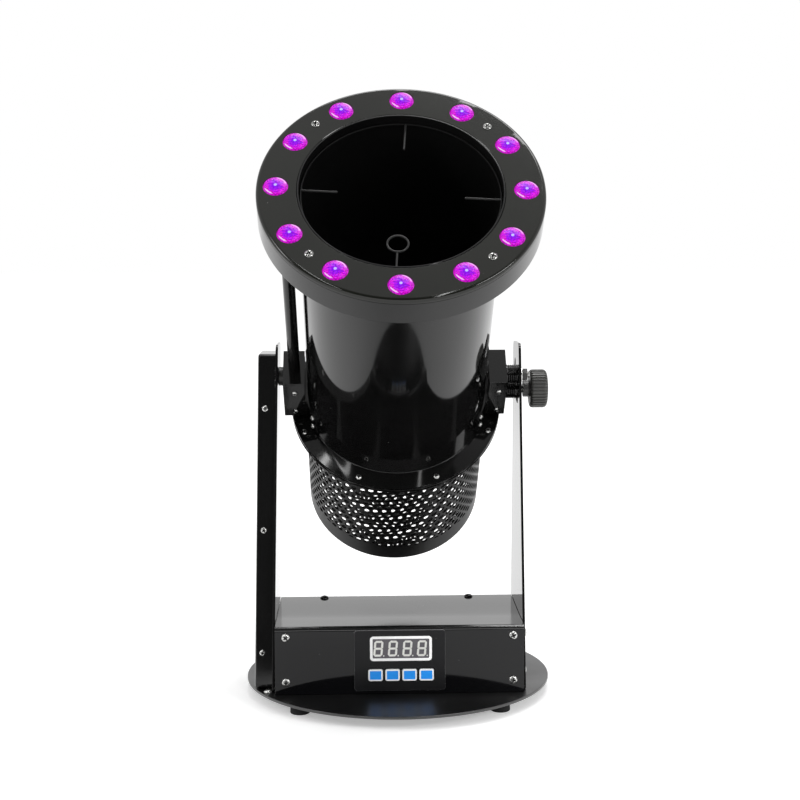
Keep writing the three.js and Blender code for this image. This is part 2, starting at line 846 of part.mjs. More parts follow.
function ductCover() {
  const outline = armOutline(ductFoot, ductBend, boxFloor + ductBend, ductTop - ductBend, ductBend);
  const body = new THREE.ExtrudeGeometry(outline, {
    depth: 2 * ductDepth,
    bevelThickness: ductBend,
    bevelSize: ductBend,
    bevelSegments: 2,
    curveSegments: 3,
  });
  body.applyMatrix4(toSide).translate(-ductOuter + ductBend, 0, 0);
  const tall = [0, earTop];
  const deep = [armFootFront - cutOverrun, armFootBack + cutOverrun];
  const kept = shared(body, slab([-ductOuter - cutOverrun, -armOuter - seatGap], deep, tall));
  const inside = armOutline(ductFoot, ductWall, boxFloor + ductWall, ductTop - ductWall, ductBend);
  return cut(kept, sidePlate(inside, -ductOuter + ductWall, 2 * ductDepth, 3));
}

// Lead from the control box up the duct to the hollow pivot bush
function armLead() {
  const middle = -armOuter - ductDepth / 2;
  const route = new THREE.CatmullRomCurve3(
    [
      [-boxSide + cableInsideLength, cableHoleHeight],
      [-armInner, cableHoleHeight],
      [-armOuter, cableHoleHeight],
      [middle, cableHoleHeight + ductDepth / 2],
      [middle, boxTop + ductDepth],
      [middle + leanReach, pivotHeight - 2 * ductDepth],
      [middle + leanReach, pivotHeight - ductDepth],
    ].map(([x, z]) => new THREE.Vector3(x, cableBack, z)),
  );
  const section = new THREE.Shape().absarc(0, 0, cableRadius, 0, fullTurn, false);
  return new THREE.ExtrudeGeometry(section, { steps: cableSteps, extrudePath: route, curveSegments: 4 });
}

addFixed("right_arm", rightArm(), glossBlack);
addLeaning("left_arm", leftArm(), glossBlack);
addLeaning("left_arm_duct", ductCover(), glossBlack);
addFixed("arm_lead", armLead(), blackRubber);

// Barrel tube with a flange round its fan end
const tubeInner = tubeRadius - tubeWall;
const flangeBottom = flangeLevel - flangeThickness;

function barrelTube() {
  return turned(
    closed([
      [tubeInner, flangeBottom],
      [tubeFlangeRadius, flangeBottom],
      [tubeFlangeRadius, flangeLevel],
      [tubeRadius, flangeLevel],
      [tubeRadius, mouthLevel],
      [tubeInner, mouthLevel],
    ]),
    largeSides,
  );
}

// Pivot block: a box beside the tube on a curved saddle at its fan end
function pivotBlock(face, ...bores) {
  const clear = tubeRadius + seatGap;
  const depth = [-blockHalfDepth, blockHalfDepth];
  const body = slab([blockInnerFace, face], depth, [blockFanEnd, blockMouthEnd]);
  const saddleEnd = blockFanEnd + saddleLength;
  const bridge = slab([tubeInner / 2, blockInnerFace + cutOverrun], depth, [blockFanEnd, saddleEnd]);
  const shape = new THREE.Shape();
  shape.absarc(0, 0, clear + saddleThickness, -saddleHalfAngle, saddleHalfAngle, false);
  shape.absarc(0, 0, clear - cutOverrun, saddleHalfAngle, -saddleHalfAngle, true);
  const saddle = extruded(shape, saddleLength, 8).translate(0, 0, blockFanEnd);
  const tubeSpace = rod(clear, blockFanEnd - cutOverrun, blockMouthEnd + cutOverrun, largeSides);
  return cut(join(body, bridge, saddle), tubeSpace, ...bores);
}

function rightBlock() {
  const bolt = alongX(rod(pivotBoltRadius + seatGap, blockInnerFace - cutOverrun,
    blockRightFace + cutOverrun, fineSides));
  const stud = alongX(rod(lockStudRadius + seatGap, blockRightFace - studSeat,
    blockRightFace + cutOverrun, smallSides)).translate(0, 0, -lockReach);
  return pivotBlock(blockRightFace, bolt, stud);
}

// The left block is bored for the leads, from the bush and from the conduit above.
function leftBlock() {
  const fromBush = alongX(rod(bushBoreRadius, -conduitSide - conduitBore,
    blockLeftFace + cutOverrun, fineSides));
  const fromConduit = rod(conduitBore, 0, blockMouthEnd + cutOverrun, fineSides);
  return pivotBlock(blockLeftFace, fromBush, fromConduit.translate(-conduitSide, 0, 0)).rotateZ(Math.PI);
}

addTilting("barrel_tube", barrelTube(), glossBlack);
addTilting("right_pivot_block", rightBlock(), glossBlack);
addTilting("left_pivot_block", leftBlock(), glossBlack);

// Hollow bush on which the barrel turns in the left arm
function pivotBush() {
  const start = blockLeftFace + seatGap;
  const collarEnd = armInner - leanReach - seatGap;
  const neckEnd = armOuter - leanReach + bushNeckLength;
  const profile = closed([
    [bushBoreRadius, start],
    [bushCollarRadius, start],
    [bushCollarRadius, collarEnd],
    [bushNeckRadius, collarEnd],
    [bushNeckRadius, neckEnd],
    [bushBoreRadius, neckEnd],
  ]);
  return alongX(turned(profile, smallSides)).rotateZ(Math.PI);
}

// Ring that holds the bush in the arm, inside the duct
function bushRing() {
  const start = armOuter - leanReach + seatGap;
  const ring = tube(bushNeckRadius + seatGap, bushRingRadius, start, start + bushRingThickness, smallSides);
  return alongX(ring).rotateZ(Math.PI);
}

// Bolt, spacer, washer and nut of the right pivot
const spacerStart = blockRightFace + seatGap;
const spacerEnd = armInner - seatGap;
const washerStart = armOuter + seatGap;
const nutStart = washerStart + washerThickness + seatGap;
const nutEnd = nutStart + pivotNutThickness;

function pivotBolt() {
  const head = blockInnerFace - seatGap;
  return alongX(rod(pivotBoltRadius, head, nutEnd + pivotBoltEnd, fineSides));
}

function pivotNut() {
  const corner = pivotNutAcross / 2 / Math.cos(Math.PI / 6);
  const hexagon = rod(corner, nutStart, nutEnd, 6);
  const bore = rod(pivotBoltRadius + seatGap, nutStart - cutOverrun, nutEnd + cutOverrun, fineSides);
  return alongX(cut(hexagon, bore));
}

function spacer(boreRadius, radius) {
  return alongX(tube(boreRadius + seatGap, radius, spacerStart, spacerEnd, smallSides));
}

function washer(boreRadius, radius) {
  return alongX(tube(boreRadius + seatGap, radius, washerStart, washerStart + washerThickness, smallSides));
}

addTilting("left_pivot_bush", pivotBush(), satinBlack);
addTilting("bush_lock_ring", bushRing(), brightSteel);
addTilting("pivot_bolt", pivotBolt(), brightSteel);
addTilting("pivot_spacer", spacer(pivotBoltRadius, pivotSpacerRadius), satinBlack);
addTilting("pivot_washer", washer(pivotBoltRadius, washerRadius), brightSteel);
addTilting("pivot_nut", pivotNut(), satinBlack);

// Lock stud in the block, its spacer, and the ribbed knob that clamps the arm
const knobStart = armOuter + knobStandoff;
const knobHubEnd = knobStart + knobHubLength;

function lockStud() {
  return alongX(rod(lockStudRadius, blockRightFace - studSeat + seatGap,
    knobStart + knobBoreDepth - seatGap, smallSides));
}

function lockKnob() {
  const shape = new THREE.Shape();
  const points = around(knobRibs * 2, (angle, i) => {
    const radius = knobRadius - knobBevel - (i % 2 ? knobRibDepth : 0);
    return new THREE.Vector2(Math.cos(angle) * radius, Math.sin(angle) * radius);
  });
  shape.setFromPoints(points);
  const grip = new THREE.ExtrudeGeometry(shape, {
    depth: knobLength - 2 * knobBevel,
    bevelThickness: knobBevel,
    bevelSize: knobBevel,
    bevelSegments: 1,
  }).translate(0, 0, knobHubEnd + knobBevel);
  const hub = rod(knobHubRadius, knobStart, knobHubEnd + knobBevel, smallSides);
  const bore = rod(lockStudRadius + seatGap, knobStart - cutOverrun, knobStart + knobBoreDepth, smallSides);
  return alongX(cut(join(grip, hub), bore));
}

const lockPieces = [
  ["lock_stud", lockStud(), brightSteel],
  ["lock_spacer", spacer(lockStudRadius, lockSpacerRadius), satinBlack],
  ["lock_knob", lockKnob(), darkPlastic],
];
lockPieces.forEach(([name, geometry, material]) => {
  addTilting(name, geometry.translate(0, 0, -lockReach), material);
});

// Lamp ring: a round tray welded round the mouth, with pillars for its board and face
const ringInner = tubeRadius + seatGap;
const ringBottom = mouthLevel - ringHeight;
const faceUnder = mouthLevel - ringFaceThickness;
const trayTop = mouthLevel - ringFaceSkirt;
const boardLevel = mouthLevel - lampBoardDepth;

function onRing(geometry, angle) {
  return geometry.translate(lampCircle, 0, 0).rotateZ(angle + lampTurn);
}

function ringScrewAngles() {
  return around(ringScrewCount, (angle) => angle + quarterTurn / 2);
}

function ringTray() {
  const floor = ringBottom + ringWall;
  const tray = turned(
    closed([
      [ringInner, ringBottom],
      [ringRadius - ringFaceRound, ringBottom],
      [ringRadius, ringBottom + ringFaceRound],
      [ringRadius, trayTop],
      [ringRadius - ringWall, trayTop],
      [ringRadius - ringWall, floor + ringFaceRound],
      [ringRadius - ringFaceRound - ringWall, floor],
      [ringInner + ringWall, floor],
      [ringInner + ringWall, faceUnder - seatGap],
      [ringInner, faceUnder - seatGap],
    ]),
    largeSides,
  );
  const pillars = ringScrewAngles().flatMap((angle) => [
    onRing(rod(pillarRadius, ringBottom + ringWall / 2, boardLevel - seatGap, fineSides), angle),
    onRing(rod(pillarNeckRadius, ringBottom + ringWall / 2, faceUnder - seatGap, fineSides), angle),
  ]);
  const leadHole = rod(conduitBore, ringBottom - cutOverrun, floor + cutOverrun, fineSides);
  return cut(join(tray, ...pillars), leadHole.translate(conduitSide, 0, 0));
}

function ringFace() {
  const round = ringFaceRound;
  const edge = [0, 1, 2].map((step) => {
    const angle = (quarterTurn * step) / 2;
    return [ringRadius - round + round * Math.cos(angle), mouthLevel - round + round * Math.sin(angle)];
  });
  const face = turned(
    closed([
      [ringRadius - ringWall, trayTop + seatGap],
      [ringRadius, trayTop + seatGap],
      ...edge,
      [ringInner, mouthLevel],
      [ringInner, faceUnder],
      [ringRadius - ringWall, faceUnder],
    ]),
    largeSides,
  );
  const holes = around(lampCount, (angle) =>
    onRing(rod(lampRadius + seatGap, faceUnder - cutOverrun, mouthLevel + cutOverrun, smallSides), angle));
  return cut(face, ...holes);
}

function lampLens(angle) {
  const low = faceUnder - seatGap - lampFlangeThickness;
  const shoulder = faceUnder - seatGap;
  const top = mouthLevel + lampProud;
  const lens = turned(
    [
      [0, low],
      [lampRadius + lampFlange, low],
      [lampRadius + lampFlange, shoulder],
      [lampRadius, shoulder],
      [lampRadius, top],
      [0, top + lampDome],
    ],
    smallSides,
  );
  return onRing(lens, angle);
}

// Ring-shaped lamp board with an emitter under each lens
function lampBoard() {
  const board = tube(lampBoardInner, lampBoardOuter, boardLevel, boardLevel + boardThickness, middleSides);
  const holes = ringScrewAngles().map((angle) =>
    onRing(rod(pillarNeckRadius + seatGap, boardLevel - cutOverrun,
      boardLevel + boardThickness + cutOverrun, fineSides), angle));
  const emitters = around(lampCount, (angle) =>
    onRing(rod(emitterRadius, boardLevel + boardThickness / 2,
      boardLevel + boardThickness + emitterHeight, meshHoleSides), angle));
  return join(cut(board, ...holes), ...emitters);
}

function lampConduit() {
  const pipe = tube(conduitBore, conduitRadius, blockMouthEnd + seatGap, ringBottom - seatGap, fineSides);
  return pipe.translate(conduitSide, 0, 0);
}

addTilting("lamp_ring_housing", ringTray(), satinBlack);
addTilting("lamp_ring_face", ringFace(), satinBlack);
addTilting("lamp_board", lampBoard(), circuitGreen);
around(lampCount, (angle, i) => addTilting(`lamp_lens_${i + 1}`, lampLens(angle), lampPink));
addTilting("lamp_conduit", lampConduit(), glossBlack);

// Wire guard: a hoop against the tube wall and four wires that point inwards, the front one to an eye
function mouthGuard() {
  const level = mouthLevel - guardDepth;
  const hoopRadius = tubeInner - guardWireRadius - seatGap;
  const hoop = new THREE.TorusGeometry(hoopRadius, guardWireRadius, wireSides, middleSides);
  const wires = around(guardWireCount, (angle, i) => {
    const inner = i === guardWireCount - 1 ? guardEyeReach + guardEyeRadius : hoopRadius - guardReach;
    return alongX(rod(guardWireRadius, inner, hoopRadius, wireSides)).rotateZ(angle + guardTurn);
  });
  const eye = new THREE.TorusGeometry(guardEyeRadius, guardWireRadius, wireSides, smallSides)
    .translate(0, -guardEyeReach, 0)
    .rotateZ(guardTurn);
  return join(hoop, ...wires, eye).translate(0, 0, level);
}

// A round plate drilled with rings of holes, each ring with six more holes than the last.
function drilled(plate, z0, z1, rings, pitch, radius) {
  const holes = Array.from({ length: rings }, (_, ring) =>
    around(6 * (ring + 1), (angle) =>
      rod(radius, z0, z1, meshHoleSides).translate(pitch * (ring + 1), 0, 0).rotateZ(angle)));
  return cut(plate, ...holes.flat());
}

// Screen on which the confetti lies, with a skirt against the tube wall
function confettiScreen() {
  const rim = tubeInner - seatGap;
  const top = screenLevel + screenThickness;
  const skirted = turned(
    [
      [0, screenLevel],
      [rim - screenThickness, screenLevel],
      [rim - screenThickness, screenLevel - screenSkirt],
      [rim, screenLevel - screenSkirt],
      [rim, top],
      [0, top],
    ],
    middleSides,
  );
  const pitch = (tubeInner - screenRimWidth) / screenRings;
  return drilled(skirted, screenLevel - cutOverrun, top + cutOverrun, screenRings, pitch, screenHoleRadius);
}

addTilting("mouth_guard", mouthGuard(), brightSteel);
addTilting("confetti_screen", confettiScreen(), satinBlack);

// Spider plate clamped under the tube flange, which carries the motor
const spiderTop = flangeBottom - seatGap;
const spiderBottom = spiderTop - spiderThickness;

function motorSpider() {
  const rim = tube(spiderRimInner, tubeFlangeRadius, spiderBottom, spiderTop, middleSides);
  const arms = around(spiderArms, (angle) =>
    slab([spiderHubRadius / 2, spiderRimInner + cutOverrun], [-spiderArmWidth / 2, spiderArmWidth / 2],
      [spiderBottom, spiderTop]).rotateZ(angle + quarterTurn / 2));
  const hub = rod(spiderHubRadius, spiderBottom, spiderTop, smallSides);
  const bore = rod(motorBossRadius + seatGap, spiderBottom - cutOverrun, spiderTop + cutOverrun,
    smallSides);
  return cut(join(rim, ...arms, hub), bore);
}

const motorTop = spiderBottom - seatGap;

function fanMotor() {
  const low = motorTop - motorLength;
  const depth = motorTop - shaftInMotor - seatGap;
  const body = turned(
    [
      [0, low],
      [motorRadius - motorEdge, low],
      [motorRadius, low + motorEdge],
      [motorRadius, motorTop - motorEdge],
      [motorRadius - motorEdge, motorTop],
      [motorBossRadius, motorTop],
      [motorBossRadius, motorTop + motorBossHeight],
      [0, motorTop + motorBossHeight],
    ],
    smallSides,
  );
  return cut(body, rod(shaftRadius + runningGap, depth, motorTop + motorBossHeight + cutOverrun,
    smallSides));
}

const fanBottom = spiderTop + fanAboveSpider;
const fanTop = fanBottom + fanHubHeight;

function fanShaft() {
  return rod(shaftRadius, motorTop - shaftInMotor, fanTop - fanWall, fineSides);
}

// One blade, whose pitch eases from its root to its tip.
function fanBlade() {
  const root = fanHubRadius - fanWall;
  const span = tubeInner - fanTipClearance - root;
  const half = bladeChord / 2;
  const thin = bladeThickness / 2;
  const section = new THREE.Shape([
    new THREE.Vector2(half, -thin),
    new THREE.Vector2(half, thin),
    new THREE.Vector2(-half, thin),
    new THREE.Vector2(-half, -thin),
  ]);
  const blade = new THREE.ExtrudeGeometry(section, {
    depth: span,
    steps: bladeSteps,
    bevelEnabled: false,
  });
  const place = blade.attributes.position;
  for (let i = 0; i < place.count; i += 1) {
    const angle = THREE.MathUtils.lerp(bladeRootAngle, bladeTipAngle, place.getZ(i) / span);
    const [x, y] = [place.getX(i), place.getY(i)];
    place.setX(i, x * Math.cos(angle) - y * Math.sin(angle));
    place.setY(i, x * Math.sin(angle) + y * Math.cos(angle));
  }
  return blade.applyMatrix4(toSide).translate(root, 0, (fanBottom + fanTop) / 2);
}

function fanImpeller() {
  const hub = turned(
    closed([
      [shaftRadius + seatGap, fanBottom],
      [fanHubRadius, fanBottom],
      [fanHubRadius, fanTop - fanWall],
      [fanHubRadius - fanWall, fanTop],
      [shaftRadius + seatGap, fanTop],
    ]),
    smallSides,
  );
  return join(hub, ...around(fanBlades, (angle) => fanBlade().rotateZ(angle)));
}

addTilting("motor_spider", motorSpider(), satinBlack);
addTilting("fan_motor", fanMotor(), bareAluminium);
addTilting("fan_shaft", fanShaft(), brightSteel);
addTilting("fan_impeller", fanImpeller(), darkPlastic);

// Air cage: a perforated wall with a screwed flange, a plain band and a lip for its end plate
const cageTop = spiderBottom - seatGap;

function cageHoles() {
  const middle = (cageTop - cageFlangeThickness + cageEnd + cageBand) / 2;
  return around(cageSides, (angle, side) =>
    Array.from({ length: cageRows }, (_, row) => {
      const stagger = ((side % 2) - 0.5) / 2;
      const level = middle + (row - (cageRows - 1) / 2 + stagger) * cageRowPitch;
      const hole = rod(cageHoleRadius, cageRadius - cageBand / 2, cageRadius + cutOverrun, meshHoleSides);
      return alongX(hole).translate(0, 0, level).rotateZ(angle + Math.PI / cageSides);
    }),
  ).flat();
}

function airCage() {
  const inner = cageRadius - cageWall;
  const lipTop = cageEnd + cageFlangeThickness;
  const wall = turned(
    closed([
      [inner - cageLip, cageEnd],
      [cageRadius, cageEnd],
      [cageRadius, cageTop - cageFlangeThickness],
      [tubeFlangeRadius, cageTop - cageFlangeThickness],
      [tubeFlangeRadius, cageTop],
      [inner, cageTop],
      [inner, lipTop],
      [inner - cageLip, lipTop],
    ]),
    cageSides,
  );
  return cut(wall, ...cageHoles());
}

function cageEndPlate() {
  const low = cageEnd + cageFlangeThickness + seatGap;
  const rim = (cageRadius - cageWall) * Math.cos(Math.PI / cageSides) - seatGap;
  const plate = rod(rim, low, low + cageWall, cageSides);
  const pitch = (cageRadius - endRimWidth) / endHoleRings;
  return drilled(plate, low - cutOverrun, low + cageWall + cutOverrun, endHoleRings, pitch, endHoleRadius);
}

addTilting("air_cage", airCage(), satinBlack);
addTilting("cage_end_plate", cageEndPlate(), satinBlack);

export default whole;
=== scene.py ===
import math

import bmesh
import bpy
from mathutils import Matrix, Vector


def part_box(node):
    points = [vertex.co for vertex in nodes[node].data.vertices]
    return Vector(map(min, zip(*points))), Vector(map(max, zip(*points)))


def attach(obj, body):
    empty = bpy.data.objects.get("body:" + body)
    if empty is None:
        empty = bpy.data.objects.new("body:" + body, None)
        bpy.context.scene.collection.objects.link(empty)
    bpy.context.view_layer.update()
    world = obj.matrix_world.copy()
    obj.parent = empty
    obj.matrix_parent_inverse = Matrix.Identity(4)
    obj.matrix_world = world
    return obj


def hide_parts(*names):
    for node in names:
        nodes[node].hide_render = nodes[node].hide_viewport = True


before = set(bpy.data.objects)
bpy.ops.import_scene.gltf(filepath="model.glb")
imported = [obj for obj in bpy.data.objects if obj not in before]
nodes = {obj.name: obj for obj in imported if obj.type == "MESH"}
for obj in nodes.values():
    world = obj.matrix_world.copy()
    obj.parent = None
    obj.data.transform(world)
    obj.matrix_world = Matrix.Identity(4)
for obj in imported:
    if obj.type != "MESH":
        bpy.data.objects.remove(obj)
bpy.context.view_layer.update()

# The view.
# A long lens stands 1.35 m in front of the blower, a little above the top of its arms,
# and looks slightly down into the mouth.
mm = 0.001

to_the_right = Vector((0.9996, -0.0275, -0.0050))
upwards = Vector((0.0078, 0.1026, 0.9947))
into_the_view = Vector((0.0269, 0.9943, -0.1028))
standpoint = Vector((-33.15, -1347.40, 391.9)) * mm

camera_data = bpy.data.cameras.new("long_lens")
camera_data.sensor_width = 36
camera_data.lens = 67.5
camera = bpy.data.objects.new("long_lens", camera_data)
bpy.context.scene.collection.objects.link(camera)
turned_to = Matrix((to_the_right, upwards, -into_the_view)).transposed()
camera.matrix_world = Matrix.Translation(standpoint) @ turned_to.to_4x4()
bpy.context.scene.camera = camera
bpy.context.scene.view_settings.view_transform = "Standard"


# The studio floor.
# A seamless white sweep that carries the shadow of the blower, its glow painted weaker near the blower. A
# finish is built from sockets on which plain maths can be written.
class Paint:
    """A socket of a finish. Maths on it adds Math nodes, and node() adds any other node."""

    def __init__(self, tree, socket=None):
        self.tree = tree
        self.socket = socket

    def node(self, kind, settings=None, sockets=None, output=0):
        made = self.tree.nodes.new("ShaderNode" + kind)
        for name, value in (settings or {}).items():
            if name == "stops":
                ramp = made.color_ramp.elements
                for index, (place, colour) in enumerate(value):
                    stop = ramp[index] if index < 2 else ramp.new(place)
                    stop.position = place
                    stop.color = colour
            else:
                setattr(made, name, value)
        for name, value in (sockets or {}).items():
            if isinstance(value, Paint):
                self.tree.links.new(value.socket, made.inputs[name])
            else:
                made.inputs[name].default_value = value
        return Paint(self.tree, made.outputs[output] if made.outputs else None)

    def noise(self, place, scale, detail):
        return self.node("TexNoise", None, {"Vector": place, "Scale": scale, "Detail": detail})

    def cells(self, place, scale, feature="F1"):
        return self.node("TexVoronoi", {"feature": feature}, {"Vector": place, "Scale": scale})

    def ramp(self, along, *stops):
        return self.node("ValToRGB", {"stops": stops}, {"Fac": along})

    def ranged(self, value, start, stop, low=0.0, high=1.0, curve="LINEAR"):
        return self.node("MapRange", {"interpolation_type": curve}, {
            "Value": value, "From Min": start, "From Max": stop, "To Min": low, "To Max": high})

    def mixed(self, share, first, second):
        return self.node("Mix", {"data_type": "RGBA"}, {0: share, 6: first, 7: second}, output=2)

    def bumps(self, height, depth):
        return self.node("Bump", None, {"Height": height, "Distance": depth * mm})

    def maths(self, operation, first, second):
        return self.node("Math", {"operation": operation}, {0: first, 1: second})

    def __add__(self, other):
        return self.maths("ADD", self, other)

    __radd__ = __add__

    def __sub__(self, other):
        return self.maths("SUBTRACT", self, other)

    def __rsub__(self, other):
        return self.maths("SUBTRACT", other, self)

    def __mul__(self, other):
        return self.maths("MULTIPLY", self, other)

    __rmul__ = __mul__

    def __gt__(self, other):
        return self.maths("GREATER_THAN", self, other)

    def __lt__(self, other):
        return self.maths("LESS_THAN", self, other)


def new_finish(name):
    material = bpy.data.materials.new(name)
    material.use_nodes = True
    material.node_tree.nodes.clear()
    return material, Paint(material.node_tree)


def seen_straight(paint):
    """One for the camera, mirror and glass rays, which are to see the white surroundings."""
    camera_ray = paint.node("LightPath", output="Is Camera Ray")
    mirror_ray = paint.node("LightPath", output="Is Glossy Ray")
    glass_ray = paint.node("LightPath", output="Is Transmission Ray")
    return paint.maths("MAXIMUM", paint.maths("MAXIMUM", camera_ray, mirror_ray), glass_ray)


floor_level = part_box("rubber_foot_1")[0].z
sweep_size, sweep_middle = 30, 6

floor_white, paint = new_finish("floor_white")
paper = paint.node("TexCoord", output="Object")
shade = paint.ramp(paint.noise(paper, 60.0, 3.0), (0, (0.84, 0.84, 0.84, 1)), (1, (0.86, 0.86, 0.86, 1)))
lit = paint.node("BsdfDiffuse", None, {"Color": shade})
# Painted light: the glow that the camera sees on the floor is weaker near the blower, so that its shadow
# shows, and stronger further off, so that the far floor stays white.
from_blower = paint.node("VectorMath", {"operation": "DISTANCE"}, {0: paper, 1: (0, -sweep_middle, 0)},
                         output="Value")
painted_glow_by_distance = paint.ranged(from_blower, 0.2, 1.6, 0.36, 0.66, "SMOOTHSTEP")
glow = paint.node("Emission", None, {"Color": (1, 1, 1, 1), "Strength": seen_straight(paint) * painted_glow_by_distance})
paint.node("OutputMaterial", None, {"Surface": paint.node("AddShader", None, {0: lit, 1: glow})})

bpy.ops.object.select_all(action="DESELECT")
bpy.ops.mesh.primitive_plane_add(size=sweep_size, location=(0, sweep_middle, floor_level))
floor = bpy.context.object
floor.name = "studio_floor"
floor.data.materials.append(floor_white)


# The light.
# White surroundings that darken behind the camera, a broad lamp above, a softbox on each side and
# two tall strips in front.
world = bpy.data.worlds.new("white_surroundings")
bpy.context.scene.world = world
world.use_nodes = True
world.node_tree.nodes.clear()
paint = Paint(world.node_tree)
way = paint.node("SeparateXYZ", None, {0: paint.node("TexCoord", output="Generated")}, output="Y")
towards_the_back = paint.ranged(way, -0.75, 0.05, 0.1, 1.0, "SMOOTHSTEP")
mirror_ray = paint.node("LightPath", output="Is Glossy Ray")
mirrored = mirror_ray * towards_the_back
straight = seen_straight(paint) * (1 - mirror_ray)
strength = mirrored + straight + (1 - seen_straight(paint)) * 0.52
sky = paint.node("Background", None, {"Color": (1, 1, 1, 1), "Strength": strength})
paint.node("OutputWorld", None, {"Surface": sky})


def softbox(name, place, aim, width, height, watts):
    lamp = bpy.data.lights.new(name, "AREA")
    lamp.shape = "RECTANGLE"
    lamp.size = width
    lamp.size_y = height
    lamp.energy = watts
    stand = bpy.data.objects.new(name, lamp)
    stand.location = place
    stand.rotation_euler = (Vector(aim) - Vector(place)).to_track_quat("-Z", "Y").to_euler()
    bpy.context.scene.collection.objects.link(stand)


softbox("softbox_left", (-1.9, -0.9, 1.3), (0, 0, 0.3), 0.5, 0.9, 10)
softbox("softbox_right", (1.5, -1.4, 1.0), (0, 0, 0.4), 0.9, 0.35, 13)
softbox("softbox_above", (0.3, 0.4, 2.7), (0, 0, 0.3), 1.4, 0.8, 30)
softbox("strip_left", (-0.9, -1.7, 2.0), (0, 0, 0.3), 0.07, 2.6, 9)
softbox("strip_right", (0.52, -1.85, 2.05), (0, 0, 0.3), 0.07, 2.6, 9)


# Base disc.
# A round plate of 2.5 mm steel that carries the whole blower, cut by laser, its rim broken,
# then powder coated in gloss black.
def ink(red, green, blue):
    """A colour read off a screen, as the linear colour that a finish takes."""
    steps = [value / 255 for value in (red, green, blue)]
    return tuple(s / 12.92 if s < 0.04045 else ((s + 0.055) / 1.055) ** 2.4 for s in steps) + (1,)


def shaded(colour, factor):
    return tuple(value * factor for value in colour[:3]) + (1,)


def skin(paint, sockets):
    paint.node("OutputMaterial", None, {"Surface": paint.node("BsdfPrincipled", None, sockets)})


def coated(name, colour, roughness, peel, peel_size, smudge=0.08, settings=None):
    """Powder coat or lacquer: a skin with a slight peel, a faint haze and a few specks of dust."""
    material, paint = new_finish(name)
    place = paint.node("TexCoord", output="Object")
    wide = paint.noise(place, 14.0, 5.0)
    fine = paint.noise(place, 1000 / peel_size, 2.0)
    dust = (paint.cells(place, 90.0) < 0.035) * (wide > 0.52)
    dull = paint.ranged(wide, 0.4, 0.65, roughness, roughness + smudge)
    tone = paint.ramp(wide, (0.3, shaded(colour, 0.8)), (0.7, shaded(colour, 1.25)))
    skin(paint, {"Base Color": paint.mixed(dust * 0.6, tone, ink(92, 92, 90)),
                 "Roughness": dull + dust * 0.3, "Normal": paint.bumps(fine, peel), **(settings or {})})
    return material


def alone():
    """Ends any editing and leaves nothing selected."""
    if bpy.context.object and bpy.context.object.mode != "OBJECT":
        bpy.ops.object.mode_set(mode="OBJECT")
    bpy.ops.object.select_all(action="DESELECT")


def work_on(piece):
    alone()
    bpy.context.view_layer.objects.active = piece
    piece.select_set(True)


def set_down(piece, matrix=None):
    """Moves a piece by a matrix and puts its place into its mesh."""
    work_on(piece)
    if matrix:
        piece.matrix_world = matrix @ piece.matrix_world
    bpy.ops.object.transform_apply(location=True, rotation=True, scale=True)
    return piece


def modified(piece, kind, **settings):
    work_on(piece)
    tool = piece.modifiers.new(kind.lower(), kind)
    for name, value in settings.items():
        setattr(tool, name, value)
    bpy.ops.object.modifier_apply(modifier=tool.name)
    return piece


def smooth_up_to(angle, piece):
    work_on(piece)
    bpy.ops.object.shade_smooth_by_angle(angle=math.radians(angle))


def evenly_shaded(piece):
    """Smooth shading that stays flat on the broad faces and sharp at the corners."""
    smooth_up_to(35, piece)
    return modified(piece, "WEIGHTED_NORMAL", keep_sharp=True)


def soften(piece, width, segments=2, angle=30):
    """Rounds the sharp edges and shades the rest smooth."""
    modified(piece, "BEVEL", width=width * mm, segments=segments, limit_method="ANGLE",
             angle_limit=math.radians(angle), miter_outer="MITER_ARC", use_clamp_overlap=True)
    return evenly_shaded(piece)


def rod(name, radius, low, high, sides=48):
    """An upright round bar on the Z axis."""
    alone()
    bpy.ops.mesh.primitive_cylinder_add(vertices=sides, radius=radius * mm, depth=(high - low) * mm,
                                        location=(0, 0, (low + high) / 2 * mm))
    piece = bpy.context.object
    piece.name = name
    return set_down(piece)


def box_of(node):
    """The low and the high corner of a solid, in millimetres."""
    return [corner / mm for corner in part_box(node)]


def fitted(piece, name, finish, body, slot, *replaced):
    """Names a finished piece, coats it and hangs it on the body that carries it."""
    piece.name = name
    piece.data.name = name
    if finish:
        piece.data.materials.clear()
        piece.data.materials.append(finish)
    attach(piece, body)
    if replaced:
        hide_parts(*replaced)
    return piece


disc_black = coated("disc_black_coat", ink(11, 11, 12), 0.32, 0.002, 1.6, settings={"IOR": 1.8})
rim_break = 0.6
disc_low, disc_high = box_of("base_disc")
disc = rod("disc", disc_high.x, disc_low.z, disc_high.z, sides=192)
soften(disc, rim_break, segments=3)
fitted(disc, "disc", disc_black, "base", "gloss_black_metal", "base_disc")


# Feet.
# Four feet turned from rubber, wider at the sole, with a ring of tread cut round its middle.
# Each is pushed into its hole in the disc by a stem.
rubber = coated("foot_rubber", ink(24, 24, 25), 0.62, 0.02, 0.9, smudge=0.2,
                settings={"Specular IOR Level": 0.35})


def all_of_it():
    bpy.ops.mesh.select_all(action="SELECT")


def opened(piece):
    """Opens a piece for editing, with all of it selected."""
    work_on(piece)
    bpy.ops.object.mode_set(mode="EDIT")
    all_of_it()


